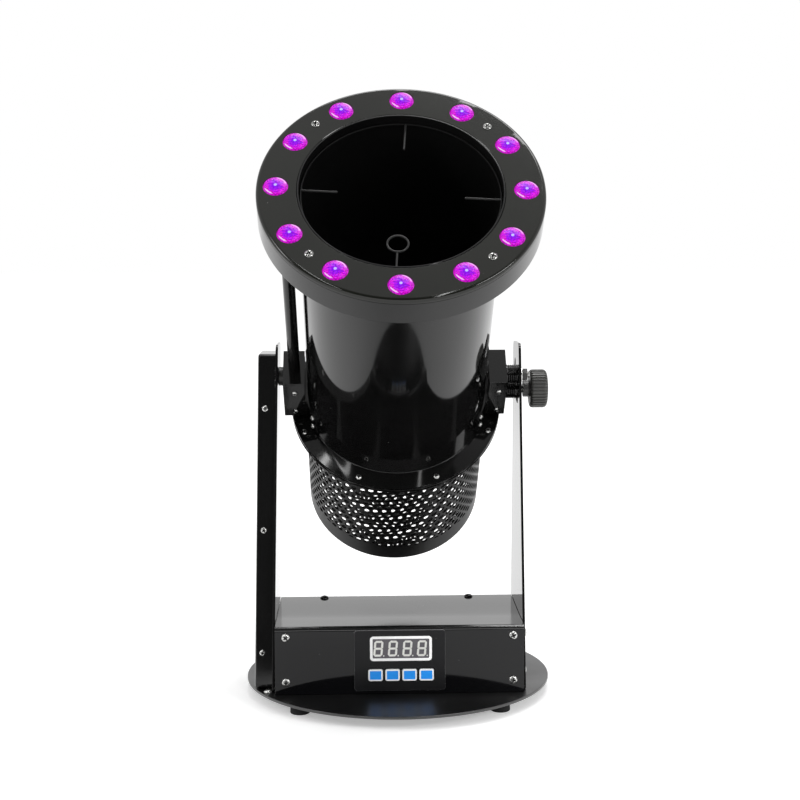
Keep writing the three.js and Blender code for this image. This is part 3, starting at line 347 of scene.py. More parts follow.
def turned(name, outline, sides=96):
    """A round piece drawn up an outline of (radius, height) in millimetres, as on a lathe."""
    alone()
    radius, height = outline[0]
    least = 0.001
    bpy.ops.mesh.primitive_circle_add(vertices=sides, radius=max(radius, least) * mm)
    piece = bpy.context.object
    piece.name = name
    opened(piece)
    bpy.ops.transform.translate(value=(0, 0, height * mm))
    for wider, higher in outline[1:]:
        bpy.ops.mesh.extrude_edges_move(TRANSFORM_OT_translate={"value": (0, 0, (higher - height) * mm)})
        grown = max(wider, least) / max(radius, least)
        bpy.ops.transform.resize(value=(grown, grown, 1), center_override=(0, 0, 0))
        radius, height = wider, higher
    all_of_it()
    bpy.ops.mesh.remove_doubles(threshold=0.004 * mm)
    bpy.ops.mesh.normals_make_consistent(inside=False)
    alone()
    return piece


def copied(piece, name, matrix=None):
    twin = piece.copy()
    twin.data = piece.data.copy()
    twin.name = name
    bpy.context.scene.collection.objects.link(twin)
    if matrix:
        twin.data.transform(matrix)
    return twin


def at(x, y, z):
    return Matrix.Translation(Vector((x, y, z)) * mm)


foot_low, foot_high = box_of("rubber_foot_1")
sole, stem_top = foot_low.z, foot_high.z
widest, neck, stem = 8.6, 6.2, 2.5
foot = turned("foot", [(0, sole), (5.2, sole), (5.8, sole + 0.5), (neck, sole), (8.0, sole),
                       (widest, sole + 0.7), (8.4, sole + 5.5), (neck, -0.1), (stem, -0.1),
                       (stem, stem_top - 0.4), (stem - 0.5, stem_top), (0, stem_top)], sides=48)
soften(foot, 0.35)
for number in (1, 2, 3, 4):
    low, high = box_of(f"rubber_foot_{number}")
    middle = (low + high) / 2
    one = copied(foot, f"foot_{number}", at(middle.x, middle.y, 0))
    fitted(one, f"foot_{number}", rubber, "base", "black_rubber", f"rubber_foot_{number}")
bpy.data.objects.remove(foot)


# Control box cover.
# One sheet of 1.5 mm steel folded over the works, with a lip over the front panel, powder coated
# in gloss black. Its top sags by a millimetre behind the lip.
def dressed(node, name, softness, segments=2):
    """A copy of a solid with its flat faces whole again and its edges rounded."""
    piece = nodes[node].copy()
    piece.data = nodes[node].data.copy()
    for key in list(piece.keys()):
        del piece[key]
    piece.parent = None
    piece.name = name
    bpy.context.scene.collection.objects.link(piece)
    opened(piece)
    bpy.ops.mesh.remove_doubles(threshold=0.01 * mm)
    bpy.ops.mesh.dissolve_limited(angle_limit=math.radians(1))
    return soften(piece, softness, segments)


cover_black = coated("cover_black_coat", ink(15, 15, 15), 0.1, 0.001, 1.8, smudge=0.05,
                     settings={"IOR": 1.72})
cover = dressed("control_box_cover", "cover", 0.35)
lip_end, deepest, rear_end = -69.0, -30.0, 41.0
sag = (deepest - lip_end) * math.tan(math.radians(1.65))
just_below_top = 60
opened(cover)
for depth in (lip_end, -60, -51, -42, -36, deepest, -22, -12, 0, 12, 24, 34, rear_end):
    all_of_it()
    bpy.ops.mesh.bisect(plane_co=(0, depth * mm, 0), plane_no=(0, 1, 0))
alone()
for corner in cover.data.vertices:
    depth = corner.co.y / mm
    if corner.co.z / mm > just_below_top and lip_end < depth < rear_end:
        along = (rear_end - depth) / (rear_end - deepest)
        rising = along * along * (3 - 2 * along)
        falling = (depth - lip_end) / (deepest - lip_end)
        corner.co.z -= sag * (rising if depth > deepest else falling) * mm
evenly_shaded(cover)
fitted(cover, "cover", cover_black, "base", "gloss_black_metal", "control_box_cover")


# Front panel.
# A flat plate of the same steel behind the cover's lip, coated like it, and held by a plated
# pan-head screw at each corner.
steel, paint = new_finish("bright_steel")
place = paint.node("TexCoord", output="Object")
stretched = paint.node("Mapping", None, {"Vector": place, "Scale": (40, 900, 900)})
lines = paint.noise(stretched, 1.0, 3.0)
tone = paint.ramp(paint.noise(place, 120.0, 3.0), (0.25, ink(176, 176, 174)), (0.75, ink(214, 214, 212)))
skin(paint, {"Base Color": tone, "Metallic": 1.0, "Roughness": 0.16 + lines * 0.2,
             "Normal": paint.bumps(lines, 0.004)})

panel_black = coated("panel_black_coat", ink(9, 9, 11), 0.05, 0.001, 2.0, smudge=0.04,
                     settings={"IOR": 1.39})


def finished(node, name, softness, finish, body, slot, segments=2):
    """A solid with its edges rounded, named, coated and hung on its body."""
    return fitted(dressed(node, name, softness, segments), name, finish, body, slot, node)


finished("front_panel", "panel", 0.2, panel_black, "base", "gloss_black_metal")


def block(name, low, high):
    """A block between two corners in millimetres."""
    alone()
    size = [(b - a) * mm for a, b in zip(low, high)]
    bpy.ops.mesh.primitive_cube_add(size=1, location=[(a + b) / 2 * mm for a, b in zip(low, high)])
    piece = bpy.context.object
    piece.name = name
    piece.scale = size
    return set_down(piece)


def joined(pieces):
    work_on(pieces[0])
    for piece in pieces:
        piece.select_set(True)
    if len(pieces) > 1:
        bpy.ops.object.join()
    return pieces[0]


def cut_out(piece, cutters):
    """Takes the cutters away from a piece."""
    cutter = joined(cutters)
    modified(piece, "BOOLEAN", operation="DIFFERENCE", object=cutter, solver="EXACT")
    bpy.data.objects.remove(cutter)
    return piece


def turn(degrees, axis):
    return Matrix.Rotation(math.radians(degrees), 4, axis)


recess_black = coated("driven_recess", ink(22, 22, 22), 0.5, 0.002, 0.5)


def pan_screw(radius, height):
    """A domed screw head with a cross cut in it, standing on the XY plane."""
    head = turned("screw", [(0, -0.3), (radius * 0.96, -0.3), (radius, 0), (radius, height * 0.25),
                            (radius * 0.88, height * 0.62), (radius * 0.62, height * 0.88),
                            (radius * 0.3, height), (0, height)], sides=28)
    arm, width = radius * 0.58, radius * 0.19
    bottom = height * 0.2
    cross = [block("cut", (-arm, -width, bottom), (arm, width, height * 2)),
             block("cut", (-width, -arm, bottom), (width, arm, height * 2.01))]
    for cutter in cross:
        cut_out(head, [cutter])
    soften(head, radius * 0.04, angle=40)
    head.data.materials.append(steel)
    head.data.materials.append(recess_black)
    for face in head.data.polygons:
        middle = face.center / mm
        inside = max(abs(middle.x), abs(middle.y)) < arm * 1.02
        deep = middle.z < height * 0.6 and inside and middle.z > bottom - 0.1
        face.material_index = 1 if deep else 0
    return head


def screws(name, pattern, places, body="base", slot="bright_steel", finish=None):
    """A set of like screws, each at its own place, as one piece."""
    if finish:
        pattern.data.materials[0] = finish
    heads = [copied(pattern, f"{name}_{index}", place @ turn(37 * index, "Z"))
             for index, place in enumerate(places)]
    whole = joined(heads)
    bpy.data.objects.remove(pattern)
    return fitted(whole, name, None, body, slot)


panel_face = box_of("front_panel")[0].y
screw_sides, screw_levels = (-99, 99), (13.8, 53.5)
screws("panel_screws", pan_screw(3.7, 1.9),
       [at(x, panel_face, z) @ turn(90, "X") for x in screw_sides for z in screw_levels])


# Display bezel.
# A moulded black plate over the hole in the panel, satin on its face and glossy round its edge,
# whose light grey is a painted highlight, with a raised white line round the window.
bezel_black = coated("bezel_black", ink(20, 20, 22), 0.34, 0.002, 0.9, smudge=0.08,
                     settings={"Specular IOR Level": 0.22})
# The light grey of the rim is a painted highlight on its rounded edge.
bezel_painted_highlight = coated("bezel_painted_highlight", ink(150, 150, 152), 0.12, 0.001, 0.9, settings={"IOR": 2.2})
edge_width = 0.8
bezel = finished("display_bezel", "bezel", edge_width, bezel_black, "base", "black_plastic", segments=3)
bezel.data.materials.append(bezel_painted_highlight)
bezel_low, bezel_high = box_of("display_bezel")
# The faces of the rounded rim take the light grey of the painted highlight.
for face in bezel.data.polygons:
    middle = face.center / mm
    to_rim = min(middle.x - bezel_low.x, bezel_high.x - middle.x,
                 middle.z - bezel_low.z, bezel_high.z - middle.z)
    face.material_index = int(to_rim < edge_width and abs(face.normal.y) < 0.995)

white_print = coated("white_print", ink(252, 252, 252), 0.4, 0.002, 0.5, smudge=0.1)
window_low, window_high = box_of("display_window")
window_middle = (window_low + window_high) / 2
bezel_front = bezel_low.y
line_reach, line_corner, line_width, line_depth = 2.0, 3.0, 2.3, 0.35
alone()
bpy.ops.mesh.primitive_plane_add(size=1, rotation=(math.pi / 2, 0, 0))
line = bpy.context.object
line.scale = ((window_high.x - window_low.x + 2 * line_reach) * mm,
              (window_high.z - window_low.z + 2 * line_reach) * mm, 1)
line.location = Vector((window_middle.x, bezel_front - 0.05, window_middle.z)) * mm
opened(set_down(line))
bpy.ops.mesh.bevel(offset=line_corner * mm, segments=8, affect="VERTICES")
all_of_it()
bpy.ops.mesh.inset(thickness=line_width * mm)
bpy.ops.mesh.delete(type="FACE")
modified(line, "SOLIDIFY", thickness=line_depth * mm, offset=0)
soften(line, line_depth * 0.3)
fitted(line, "line_round_window", white_print, "base", "black_plastic")


# Display window and its digits.
# A smoked acrylic sheet set in the bezel, and behind its face four slanted seven-bar digits,
# each with a point after it, lit from their block.
smoked, paint = new_finish("smoked_sheet")
place = paint.node("TexCoord", output="Object")
haze = paint.noise(place, 60.0, 4.0)
tone = paint.ramp(haze, (0.3, ink(70, 67, 74)), (0.7, ink(80, 77, 84)))
skin(paint, {"Base Color": tone, "Roughness": 0.12 + haze * 0.1, "Coat Weight": 0.4, "Coat Roughness": 0.05})
finished("display_window", "window", 0.2, smoked, "base", "smoked_window")

lit_bar, paint = new_finish("lit_bar")
place = paint.node("TexCoord", output="Object")
tone = paint.ramp(paint.noise(place, 500.0, 1.0), (0.3, ink(206, 206, 202)), (0.7, ink(216, 216, 212)))
skin(paint, {"Base Color": tone, "Roughness": 0.5, "Emission Color": tone, "Emission Strength": 0.12})

digit_width, digit_height, bar, bar_gap = 8.0, 14.0, 1.8, 0.35
pitch, slant = 12.6, 0.09


def pick(piece, kind, wanted):
    """In edit mode, selects the faces or edges whose middle, in millimetres, and direction are wanted."""
    work_on(piece)
    bpy.ops.object.mode_set(mode="EDIT")
    bpy.ops.mesh.select_mode(type=kind)
    bpy.ops.mesh.select_all(action="DESELECT")
    mesh = bmesh.from_edit_mesh(piece.data)
    if kind == "FACE":
        for face in mesh.faces:
            face.select_set(bool(wanted(face.calc_center_median() / mm, face.normal)))
    else:
        for edge in mesh.edges:
            ends = [corner.co for corner in edge.verts]
            edge.select_set(bool(wanted((ends[0] + ends[1]) / 2 / mm, (ends[1] - ends[0]).normalized())))
    bmesh.update_edit_mesh(piece.data)


front_to_back, up_and_down = 1, 2


def cornered(piece, size, segments, axis=front_to_back, wanted=lambda middle: True):
    """Cuts off or rounds the edges of a block that run along one axis."""
    pick(piece, "EDGE", lambda middle, way: abs(way[axis]) > 0.9 and wanted(middle))
    bpy.ops.mesh.bevel(offset=size * mm, segments=segments)


def digit_bar(x, z, length, upright):
    """One bar with pointed ends, flat on the window."""
    half = length / 2
    piece = block("bar", (-half, -0.1, -bar / 2), (half, 0.1, bar / 2))
    cornered(piece, bar * 0.46, 1)
    return set_down(piece, at(x, 0, z) @ (turn(90, "Y") if upright else Matrix()))


half_wide, half_high = (digit_width - bar) / 2, (digit_height - bar) / 2
level, upright = half_wide * 2 - bar_gap + bar * 0.3, half_high - bar_gap + bar * 0.3
bars = [digit_bar(0, z, level, False) for z in (-half_high, 0, half_high)]
bars += [digit_bar(x, z, upright, True)
         for x in (-half_wide, half_wide) for z in (-half_high / 2, half_high / 2)]
point = rod("point", 0.6, -0.1, 0.1, sides=16)
bars.append(set_down(point, at(half_wide + 2.1, 0, -half_high - 0.3) @ turn(90, "X")))
digit = joined(bars)
lean = Matrix.Identity(4)
lean[0][2] = slant
digit.data.transform(lean)
first_digit = window_middle.x - 0.7 - pitch * 1.5
digits = joined([copied(digit, "digit", at(first_digit + pitch * index, window_low.y - 0.05, window_middle.z))
                 for index in range(4)])
bpy.data.objects.remove(digit)
fitted(digits, "lit_digits", lit_bar, "base", "smoked_window")


# Push buttons.
# Four moulded caps, each with a white rim round a blue face, on a flange and a stem behind the
# bezel, which guides them onto their switches.
button_blue = coated("button_blue", ink(20, 150, 250), 0.3, 0.002, 0.6, smudge=0.1)
button_rim = coated("button_rim", ink(250, 252, 254), 0.35, 0.002, 0.6, smudge=0.1)
cap_side, cap_rise, cap_depth, cap_corner, cap_rim = 6.25, 5.1, 2.9, 1.6, 1.3
flange_start, flange_end, stem_side = 2.1, 2.9, 2
for number in (1, 2, 3, 4):
    low, high = box_of(f"button_{number}")
    x, z = (low.x + high.x) / 2, (low.z + high.z) / 2
    cap = block("cap", (x - cap_side, low.y, z - cap_rise), (x + cap_side, low.y + cap_depth, z + cap_rise))
    cornered(cap, cap_corner, 5)
    pick(cap, "FACE", lambda middle, normal: normal.y < -0.9)
    bpy.ops.mesh.inset(thickness=cap_rim * mm)
    bpy.ops.mesh.inset(thickness=0.15 * mm, depth=-0.15 * mm)
    soften(cap, 0.18, angle=50)
    flange = block("flange", (low.x, bezel_front + flange_start, low.z),
                   (high.x, bezel_front + flange_end, high.z))
    stem = block("stem", (x - stem_side, bezel_front + flange_end - 0.1, z - stem_side),
                 (x + stem_side, high.y, z + stem_side))
    soften(flange, 0.2, segments=3)
    soften(stem, 0.2, segments=3)
    cap = fitted(joined([cap, flange, stem]), f"push_button_{number}", button_rim, f"button_{number}",
                 "blue_button", f"button_{number}")
    cap.data.materials.append(button_blue)
    for face in cap.data.polygons:
        middle = face.center / mm
        inside = abs(middle.x - x) < cap_side - cap_rim and abs(middle.z - z) < cap_rise - cap_rim
        face.material_index = int(inside and middle.y < low.y + 0.3)


# Arms.
# Two tapered plates of steel in gloss black that stand on the sides of the box, each held by
# bolts; the right one has the arc slot in which the lock slides.
gloss_black = coated("gloss_black_coat", ink(14, 14, 14), 0.045, 0.0012, 2.4, smudge=0.04,
                     settings={"IOR": 1.41})
for node, name in (("right_arm", "right_plate"), ("left_arm", "left_plate")):
    finished(node, name, 0.4, gloss_black, "base", "gloss_black_metal")

right_side = box_of("right_arm")[1].x
screws("right_arm_bolts", pan_screw(3.6, 2.0),
       [at(right_side, y, z) @ turn(90, "Y") for y in (-50, 30) for z in (16, 50)])


# Wiring duct.
# A shallow tray folded from thin steel on the outside of the left arm, over the leads to the
# barrel, closed by three screws at its front edge, which leans back with the arm.
finished("left_arm_duct", "duct", 0.3, gloss_black, "base", "gloss_black_metal")

arm_foot, arm_top = 2.8, box_of("left_arm")[1].z
foot_side, foot_front, lean_in, lean_back = -121.0, -57.0, 5.0, 41.7
duct_screws = []
for height in (248.2, 141.6, 34.9):
    up = (height - arm_foot) / (arm_top - arm_foot)
    duct_screws.append(at(foot_side + up * lean_in, foot_front + up * lean_back + 0.1, height)
                       @ turn(90, "X"))
screws("duct_screws", pan_screw(2.9, 1.8), duct_screws)


# Dome screws.
# Two black ones close the back of the box top onto the works, and a plated one holds the disc in
# front of the duct. They are larger than the panel's.
screws("box_top_screws", pan_screw(4.0, 2.2), [at(x, 36, 62.5) for x in (-67.6, 67.6)],
       slot="gloss_black_metal", finish=gloss_black)
screws("disc_screw", pan_screw(4.2, 2.3), [at(-115, -62, 2.5)])


# Barrel tube.
# Rolled from 1.3 mm sheet, with a turned-out flange at the fan end that holds the cage by eight
# screws. It is gloss black outside and dull inside.
barrel_tilt = 48.4
pivot = Vector((0, -6.0, 275.5))
in_barrel = at(*pivot) @ turn(barrel_tilt, "X")


def barrel_box(node):
    """The corners of a solid along the barrel's own axes, in millimetres from its pivot."""
    back = in_barrel.inverted()
    corners = [back @ corner.co / mm for corner in nodes[node].data.vertices]
    return (Vector(map(min, zip(*corners))), Vector(map(max, zip(*corners))))


tube_radius, tube_wall, flange_radius = 80.2, 1.3, 95.5
tube_low, tube_high = barrel_box("barrel_tube")
tube_end, mouth = tube_low.z, tube_high.z
bore = tube_radius - tube_wall
flange_top, dish, curve = tube_end + 2.2, 2.2, 0.8
curved = [(tube_radius + curve * (1 - math.sin(math.radians(way))),
           flange_top + dish + curve * (1 - math.cos(math.radians(way)))) for way in range(12, 91, 13)]
tube = turned("tube", [(bore, tube_end), (flange_radius, tube_end), (flange_radius, flange_top)] + curved
              + [(tube_radius, mouth), (bore, mouth), (bore, tube_end)], sides=192)
soften(tube, 0.25)


def in_place(piece, name, finish, slot, *replaced, place=Matrix()):
    """Lays a finished piece along the barrel's axes and hangs it on the barrel."""
    set_down(piece, in_barrel @ place)
    return fitted(piece, name, finish, "barrel", slot, *replaced)


inner_black = coated("inner_black_coat", ink(9, 9, 9), 0.5, 0.002, 1.2,
                     settings={"Specular IOR Level": 0.1})
inwards = []
for face in tube.data.polygons:
    radial = Vector((face.center.x, face.center.y, 0))
    inwards.append(face.normal.dot(radial) < 0 and radial.length / mm < bore + 0.4)
in_place(tube, "tube", gloss_black, "gloss_black_metal", "barrel_tube")
tube.data.materials.append(inner_black)
for face, is_inner in zip(tube.data.polygons, inwards):
    face.material_index = int(is_inner)

flange_screws = [in_barrel @ turn(22.5 + 45 * step, "Z") @ at(90, 0, tube_end + 3.2)
                 for step in range(8)]
screws("flange_screws", pan_screw(2.7, 1.6), flange_screws, "barrel")


# Pivot blocks.
# A milled block on each side of the tube, on a saddle bent to the tube, with two screws into the
# block and four through the saddle.
block_reach, block_front, saddle_reach = 91, -18.5, 82.7
for side, node in ((1, "right_pivot_block"), (-1, "left_pivot_block")):
    name = node.replace("_pivot_", "_")
    finished(node, name, 0.5, gloss_black, "barrel", "gloss_black_metal", segments=3)
    heads = [in_barrel @ at(side * block_reach, block_front, z) @ turn(90, "X") for z in (-1, -28)]
    heads += [in_barrel @ turn(90 * (1 - side), "Z") @ turn(way, "Z") @ at(saddle_reach, 0, z)
              @ turn(90, "Y") for way in (-24, 24) for z in (-18, -30)]
    screws(f"{name}_screws", pan_screw(2.6, 1.5), heads, "barrel")


# Tilt bearings.
# On the left a hollow bush, through which the leads run; on the right a plated bolt with its
# washer, nut and a grooved collar. A second collar stands on the stud of the lock.
satin_black = coated("satin_black_coat", ink(28, 28, 27), 0.34, 0.004, 1.1, smudge=0.1)
along_the_axle = turn(90, "Y")


def beside(node, outline, sides=48):
    """A turned piece on an axis that runs to the right, from a solid's left end and middle."""
    low, high = barrel_box(node)
    piece = turned(node, outline, sides)
    middle = (low + high) / 2
    return piece, at(low.x, middle.y, middle.z) @ along_the_axle


def on_axle(node, name, outline, finish, slot):
    piece, place = beside(node, outline)
    soften(piece, 0.2)
    in_place(piece, name, finish, slot, node, place=place)


def sleeve(bore, radius, low, high):
    """The outline of a plain sleeve."""
    return [(bore, low), (radius, low), (radius, high), (bore, high), (bore, low)]


collar_radius, collar_length, groove_floor = 9, 10.2, 8.3
bolt_hole, stud_hole, washer_radius, washer_thickness = 3.2, 4.2, 7, 1.5
grooved = [(collar_radius, 0)]
for groove in range(5):
    start = 1.3 + groove * 1.7
    grooved += [(collar_radius, start), (groove_floor, start + 0.3), (groove_floor, start + 0.7),
                (collar_radius, start + 1.0)]
grooved += [(collar_radius, collar_length)]


def collar(node, name, hole):
    on_axle(node, name, [(hole, 0)] + grooved + [(hole, collar_length), (hole, 0)],
            gloss_black, "satin_black_metal")


collar("pivot_spacer", "pivot_collar", bolt_hole)
on_axle("pivot_washer", "pivot_ring", sleeve(bolt_hole, washer_radius, 0, washer_thickness),
        steel, "bright_steel")
collar("lock_spacer", "lock_collar", stud_hole)

finished("pivot_nut", "hex_nut", 0.3, satin_black, "barrel", "satin_black_metal")


def threaded(node, name, radius, pitch, threaded_from):
    """A plated bar with turned rings for its thread, on an axis that runs to the right."""
    low, high = barrel_box(node)
    length = high.x - low.x
    outline = [(0, 0), (radius - 0.5, 0), (radius, 0.6), (radius, threaded_from)]
    turns = int((length - threaded_from - 0.8) / pitch)
    for step in range(turns):
        start = threaded_from + step * pitch
        outline += [(radius - pitch * 0.4, start + pitch * 0.5), (radius, start + pitch)]
    outline += [(radius - 0.6, length), (0, length)]
    piece, place = beside(node, outline, 32)
    smooth_up_to(25, piece)
    in_place(piece, name, steel, "bright_steel", node, place=place)


threaded("pivot_bolt", "bolt", 3.0, 1.0, 27)
threaded("lock_stud", "stud", 4.0, 1.25, 14)
finished("left_pivot_bush", "hollow_bush", 0.3, satin_black, "barrel", "satin_black_metal")


# Lock knob.
# A moulded plastic knob with ribs all round its grip and a plain hub, screwed onto the stud to
# clamp the barrel.
knob_plastic = coated("knob_plastic", ink(58, 58, 56), 0.38, 0.03, 0.7, smudge=0.16)
knob_low, knob_high = box_of("lock_knob")
knob_middle = (knob_low + knob_high) / 2
hub_length, grip_radius, grip_sides = 5.7, 17.4, 108
end = knob_high.x - knob_low.x
grip = turned("grip", [
    (0, hub_length), (grip_radius - 3.2, hub_length), (grip_radius - 1.2, hub_length + 0.5),
    (grip_radius - 0.3, hub_length + 1.4), (grip_radius, hub_length + 2.8),
    (grip_radius, end - 3.6), (grip_radius - 0.4, end - 2.0), (grip_radius - 1.5, end - 0.7),
    (grip_radius - 3.6, end), (11.5, end), (10.6, end - 0.7), (0, end - 0.7)], sides=grip_sides)


def in_a_groove(middle, normal):
    """Every third facet round the grip is a groove between two ribs."""
    facet = round(math.degrees(math.atan2(middle.y, middle.x)) * grip_sides / 360 - 0.5)
    return Vector((middle.x, middle.y)).length > grip_radius - 2.4 and facet % 3 == 0


pick(grip, "FACE", in_a_groove)
bpy.ops.mesh.extrude_region_move()
bpy.ops.transform.resize(value=(0.94, 0.94, 1), center_override=(0, 0, 0))
soften(grip, 0.22, angle=50)
hub = turned("hub", [(4.3, 0), (7.5, 0), (7.5, 4.8), (8.6, hub_length + 0.2), (4.3, hub_length + 0.2),
                     (4.3, 0)], sides=48)
soften(hub, 0.4, segments=3)
knob = joined([grip, hub])
set_down(knob, at(knob_low.x, knob_middle.y, knob_middle.z) @ along_the_axle)
fitted(knob, "ribbed_knob", knob_plastic, "lock_knob", "black_plastic", "lock_knob")


# Lamp ring.
# A pressed steel housing round the mouth in gloss black, and on it a flat face of satin black
# plate, pierced for the lenses and held by four darker screws.
face_satin = coated("lamp_ring_satin", ink(18, 19, 15), 0.06, 0.002, 1.2, smudge=0.04,
                    settings={"IOR": 1.42})
ring_radius, ring_wall = 111.7, 1.3
ring_bottom = barrel_box("lamp_ring_housing")[0].z
face_low, face_high = barrel_box("lamp_ring_face")
seam, top = face_low.z + 1.0, face_high.z
inner = tube_radius + 0.4
housing = turned("housing", [
    (inner, ring_bottom), (ring_radius - 1.5, ring_bottom), (ring_radius, ring_bottom + 1.5),
    (ring_radius, seam), (ring_radius - ring_wall, seam), (ring_radius - ring_wall, ring_bottom + 2.0),
    (inner, ring_bottom + 1.4), (inner, ring_bottom)], sides=192)
soften(housing, 0.3)
in_place(housing, "ring_housing", gloss_black, "gloss_black_metal", "lamp_ring_housing")

inner = tube_radius + 0.3
ring_face = turned("ring_face", [
    (inner, top - 2.4), (inner, top - 0.4), (inner + 0.4, top), (ring_radius - 2.8, top),
    (ring_radius - 1.6, top - 0.27), (ring_radius - 0.75, top - 0.9), (ring_radius - 0.2, top - 1.8),
    (ring_radius, top - 2.8), (ring_radius, seam + 0.3), (ring_radius - 1.4, seam + 0.3),
    (ring_radius - 1.6, top - 3.0), (ring_radius - 3.5, top - 2.2), (inner, top - 2.4)], sides=192)
lens_circle, lens_radius, lens_start, screw_hole = 96.5, 9.2, -1.45, 1.6
lens_places = [turn(30 * index + lens_start, "Z") @ at(lens_circle, 0, 0) for index in range(12)]
screw_places = [turn(45 + 90 * index + lens_start, "Z") @ at(lens_circle, 0, 0) for index in range(4)]
drills = [set_down(rod("drill", radius, top - 6, top + 3, sides), place)
          for radius, sides, places in ((lens_radius + 0.6, 64, lens_places), (screw_hole, 24, screw_places))
          for place in places]
cut_out(ring_face, drills)
soften(ring_face, 0.25, angle=40)
in_place(ring_face, "ring_face", face_satin, "satin_black_metal", "lamp_ring_face")

dark_steel = coated("dark_plated_steel", ink(146, 146, 144), 0.16, 0.003, 0.5, settings={"Metallic": 1.0})
screws("ring_screws", pan_screw(3.5, 1.5), [in_barrel @ place @ at(0, 0, top) for place in screw_places],
       "barrel", finish=dark_steel)


# Lamp lenses.
# Twelve clear lenses moulded with a low dome and shallow facets, pushed up through the face from
# behind. Each glows magenta at the rim and violet inside; a pinker side and white glints near the
# rim, the same way round on every lens, are painted highlights.
violet, paint = new_finish("violet_lens")
over_lens = paint.node("UVMap", {"uv_map": "over_lens"})
centred = paint.node("VectorMath", {"operation": "SUBTRACT"}, {0: over_lens, 1: (0.5, 0.5, 0)})
out_from_middle = paint.node("VectorMath", {"operation": "LENGTH"}, {0: centred}, output="Value") * 2
# The direction along which the painted highlights lie: white glints near the rim and a pinker lit side.
toward_painted_highlight = paint.node("VectorMath", {"operation": "DOT_PRODUCT"}, {0: centred, 1: (1.35, 1.47, 0)},
                       output="Value")
facets = paint.cells(over_lens, 11.0)
mottle = paint.noise(over_lens, 9.0, 2.0)
tone = paint.ramp(out_from_middle * 0.94 + (facets - 0.3) * 0.5 + (mottle - 0.5) * 0.5,
                  (0.0, ink(112, 0, 250)), (0.38, ink(135, 0, 255)), (0.6, ink(175, 0, 255)),
                  (0.78, ink(240, 20, 250)), (0.9, ink(255, 50, 240)), (1.0, ink(215, 0, 200)))
pale_dot = (out_from_middle + (mottle - 0.5) * 0.15) < 0.13
# Painted glints: white arcs near the rim on two opposite sides, and a painted pinker side.
painted_glint = ((toward_painted_highlight > 0.74) + (toward_painted_highlight < -0.8)) * (out_from_middle > 0.82) * (out_from_middle < 0.94)
painted_lit_side = paint.ranged(toward_painted_highlight + (mottle - 0.5) * 0.8, 0.15, 0.8)
flecks = paint.ranged(paint.noise(over_lens, 20.0, 3.0), 0.4, 0.57, 0.75, 0.0)
bright = tone
for share, colour in ((painted_lit_side * 0.35, ink(255, 110, 250)), (flecks, ink(84, 0, 120)),
                      (painted_glint * 0.75, ink(255, 215, 252)), (pale_dot * 0.75, ink(215, 225, 255))):
    bright = paint.mixed(share, bright, colour)
skin(paint, {"Base Color": ink(70, 0, 90), "Roughness": 0.12 + facets * 0.2, "Emission Color": bright,
             "Emission Strength": 0.95, "Specular IOR Level": 0.1, "Normal": paint.bumps(facets, 0.2)})

dome = turned("lens", [
    (0, top - 3.4), (10.6, top - 3.4), (10.6, top - 2.7), (lens_radius, top - 2.7),
    (lens_radius, top + 0.1), (lens_radius - 0.3, top + 0.5), (lens_radius * 0.9, top + 0.8),
    (lens_radius * 0.72, top + 1.25), (lens_radius * 0.5, top + 1.6), (lens_radius * 0.25, top + 1.8),
    (0, top + 1.85)], sides=64)
smooth_up_to(40, dome)
over = dome.data.uv_layers.new(name="over_lens")
for loop in dome.data.loops:
    corner = dome.data.vertices[loop.vertex_index].co / mm
    over.data[loop.index].uv = (0.5 + corner.x / lens_radius / 2, 0.5 + corner.y / lens_radius / 2)
for number, place in enumerate(lens_places, start=1):
    # Each lens is turned back so that its painted glints and lit side face the same way as on the others.
    upright_place = in_barrel @ place @ turn(30 - 30 * number - lens_start, "Z")
    lens = copied(dome, f"lens_{number}", upright_place)
    fitted(lens, f"lens_{number}", violet, "barrel", "violet_lens", f"lamp_lens_{number}")
bpy.data.objects.remove(dome)


# Lamp conduit.
# A thin steel tube in gloss black on the left of the barrel, which takes the leads of the lamps
# up from the pivot to the ring.
pipe_low, pipe_high = barrel_box("lamp_conduit")
pipe_radius, pipe_bore = 5.2, 3.9
pipe = turned("pipe", sleeve(pipe_bore, pipe_radius, pipe_low.z, pipe_high.z), sides=48)
soften(pipe, 0.3, segments=3)
in_place(pipe, "lead_conduit", gloss_black, "gloss_black_metal", "lamp_conduit",
         place=at((pipe_low.x + pipe_high.x) / 2, 0, 0))


# Mouth guard.
# A hoop of steel wire sprung into the mouth, with four rods welded on that point inwards, the
# front one bent into a fixing eye at its end. All is painted black.
guard_low, guard_high = barrel_box("mouth_guard")
wire = (guard_high.z - guard_low.z) / 2
guard_level = (guard_low.z + guard_high.z) / 2


def ring_of_wire(name, radius, thickness, level, sides=96, round_sides=12):
    outline = []
    for step in range(round_sides + 1):
        way = 2 * math.pi * step / round_sides
        outline.append((radius + thickness * math.cos(way), level + thickness * math.sin(way)))
    piece = turned(name, outline, sides)
    work_on(piece)
    bpy.ops.object.shade_smooth()
    return piece


